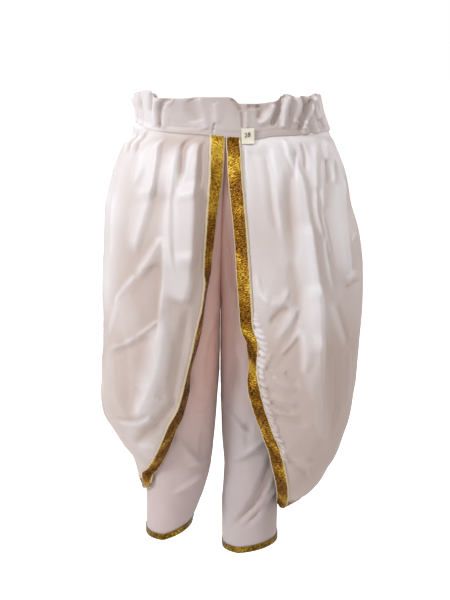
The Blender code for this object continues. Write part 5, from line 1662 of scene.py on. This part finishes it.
# ------------------------------------------------------------------ camera and light
camera_data = bpy.data.cameras.new("Camera")
camera_data.lens = 75.0
camera_data.clip_start = 0.01
camera = placed("Camera", camera_data)
camera.location = (-0.0078, -1.5, 0.06)
camera.rotation_euler = (math.radians(90.0 - 10.84), 0.0, 0.0)
bpy.context.scene.camera = camera

# name, place, aim, width, power in watts, colour
LIGHTS = (
    ("Key", (-2.33, -1.65, 1.64), (0.0, 0.0, -0.12), 0.75, 63.0, (0.88, 0.94, 1.0)),
    ("Top", (0.55, -0.8, 1.35), (0.05, 0.0, -0.1), 1.0, 12.0, (0.86, 0.94, 1.0)),
    ("Back", (-1.5, 1.8, 0.9), (0.0, 0.0, -0.25), 0.8, 15.0, (0.9, 0.95, 1.0)),
    ("Back right", (1.9, 1.2, 0.4), (0.0, 0.05, -0.25), 0.8, 9.0, (0.9, 0.95, 1.0)),
    ("Side", (-1.6, 0.25, 0.45), (-0.1, 0.0, 0.0), 0.8, 4.5, (0.86, 0.95, 1.0)),
)
for name, place, aim, size, power, colour in LIGHTS:
    data = bpy.data.lights.new(name, "AREA")
    data.shape = "DISK"
    data.size = size
    data.energy = power
    data.color = colour
    lamp = placed(name, data)
    lamp.location = place
    lamp.rotation_euler = (Vector(aim) - Vector(place)).to_track_quat("-Z", "Y").to_euler()

# the air round the garment is lit softly; where the camera looks past it, it is plain white
AIR, PLAIN_WHITE = (0.335, 0.263, 0.22, 1.0), (1.0, 1.0, 1.0, 1.0)
world = bpy.data.worlds.new("Studio")
world.use_nodes = True
sky = world.node_tree
seen = add(sky, "LightPath")
glow = add(sky, "Mix", {0: seen, 6: AIR, 7: PLAIN_WHITE}, out=2, data_type="RGBA")
sky.links.new(glow, sky.nodes["Background"].inputs[0])
bpy.context.scene.world = world
bpy.context.scene.view_settings.view_transform = "Standard"

# a pale floor, brighter away from the garment so that it runs into the white round it
FLOOR_Z = -0.62
floor_look, floor_tree, floor_shader = new_finish("Pale studio floor, painted", 0.8)
floor_shader.inputs["Base Color"].default_value = srgb("f8f8f8")
floor_place = add(floor_tree, "TexCoord", out=3)
floor_away = add(floor_tree, "VectorMath", {0: floor_place}, out=1, operation="LENGTH")
floor_glow = add(
    floor_tree, "MapRange",
    {"Value": floor_away, "From Min": 0.2, "From Max": 1.6, "To Min": 0.85, "To Max": 0.95},
)
floor_seen = add(floor_tree, "LightPath")
floor_glow = add(floor_tree, "Math", {0: floor_glow, 1: floor_seen}, operation="MULTIPLY")
floor_shader.inputs["Emission Color"].default_value = PLAIN_WHITE
floor_tree.links.new(floor_glow, floor_shader.inputs["Emission Strength"])
bm = bmesh.new()
bmesh.ops.create_grid(bm, x_segments=1, y_segments=1, size=40.0)
bmesh.ops.translate(bm, verts=bm.verts, vec=(0.0, 0.0, FLOOR_Z))
floor = placed("floor", mesh_from("floor", bm))
floor.data.materials.append(floor_look)
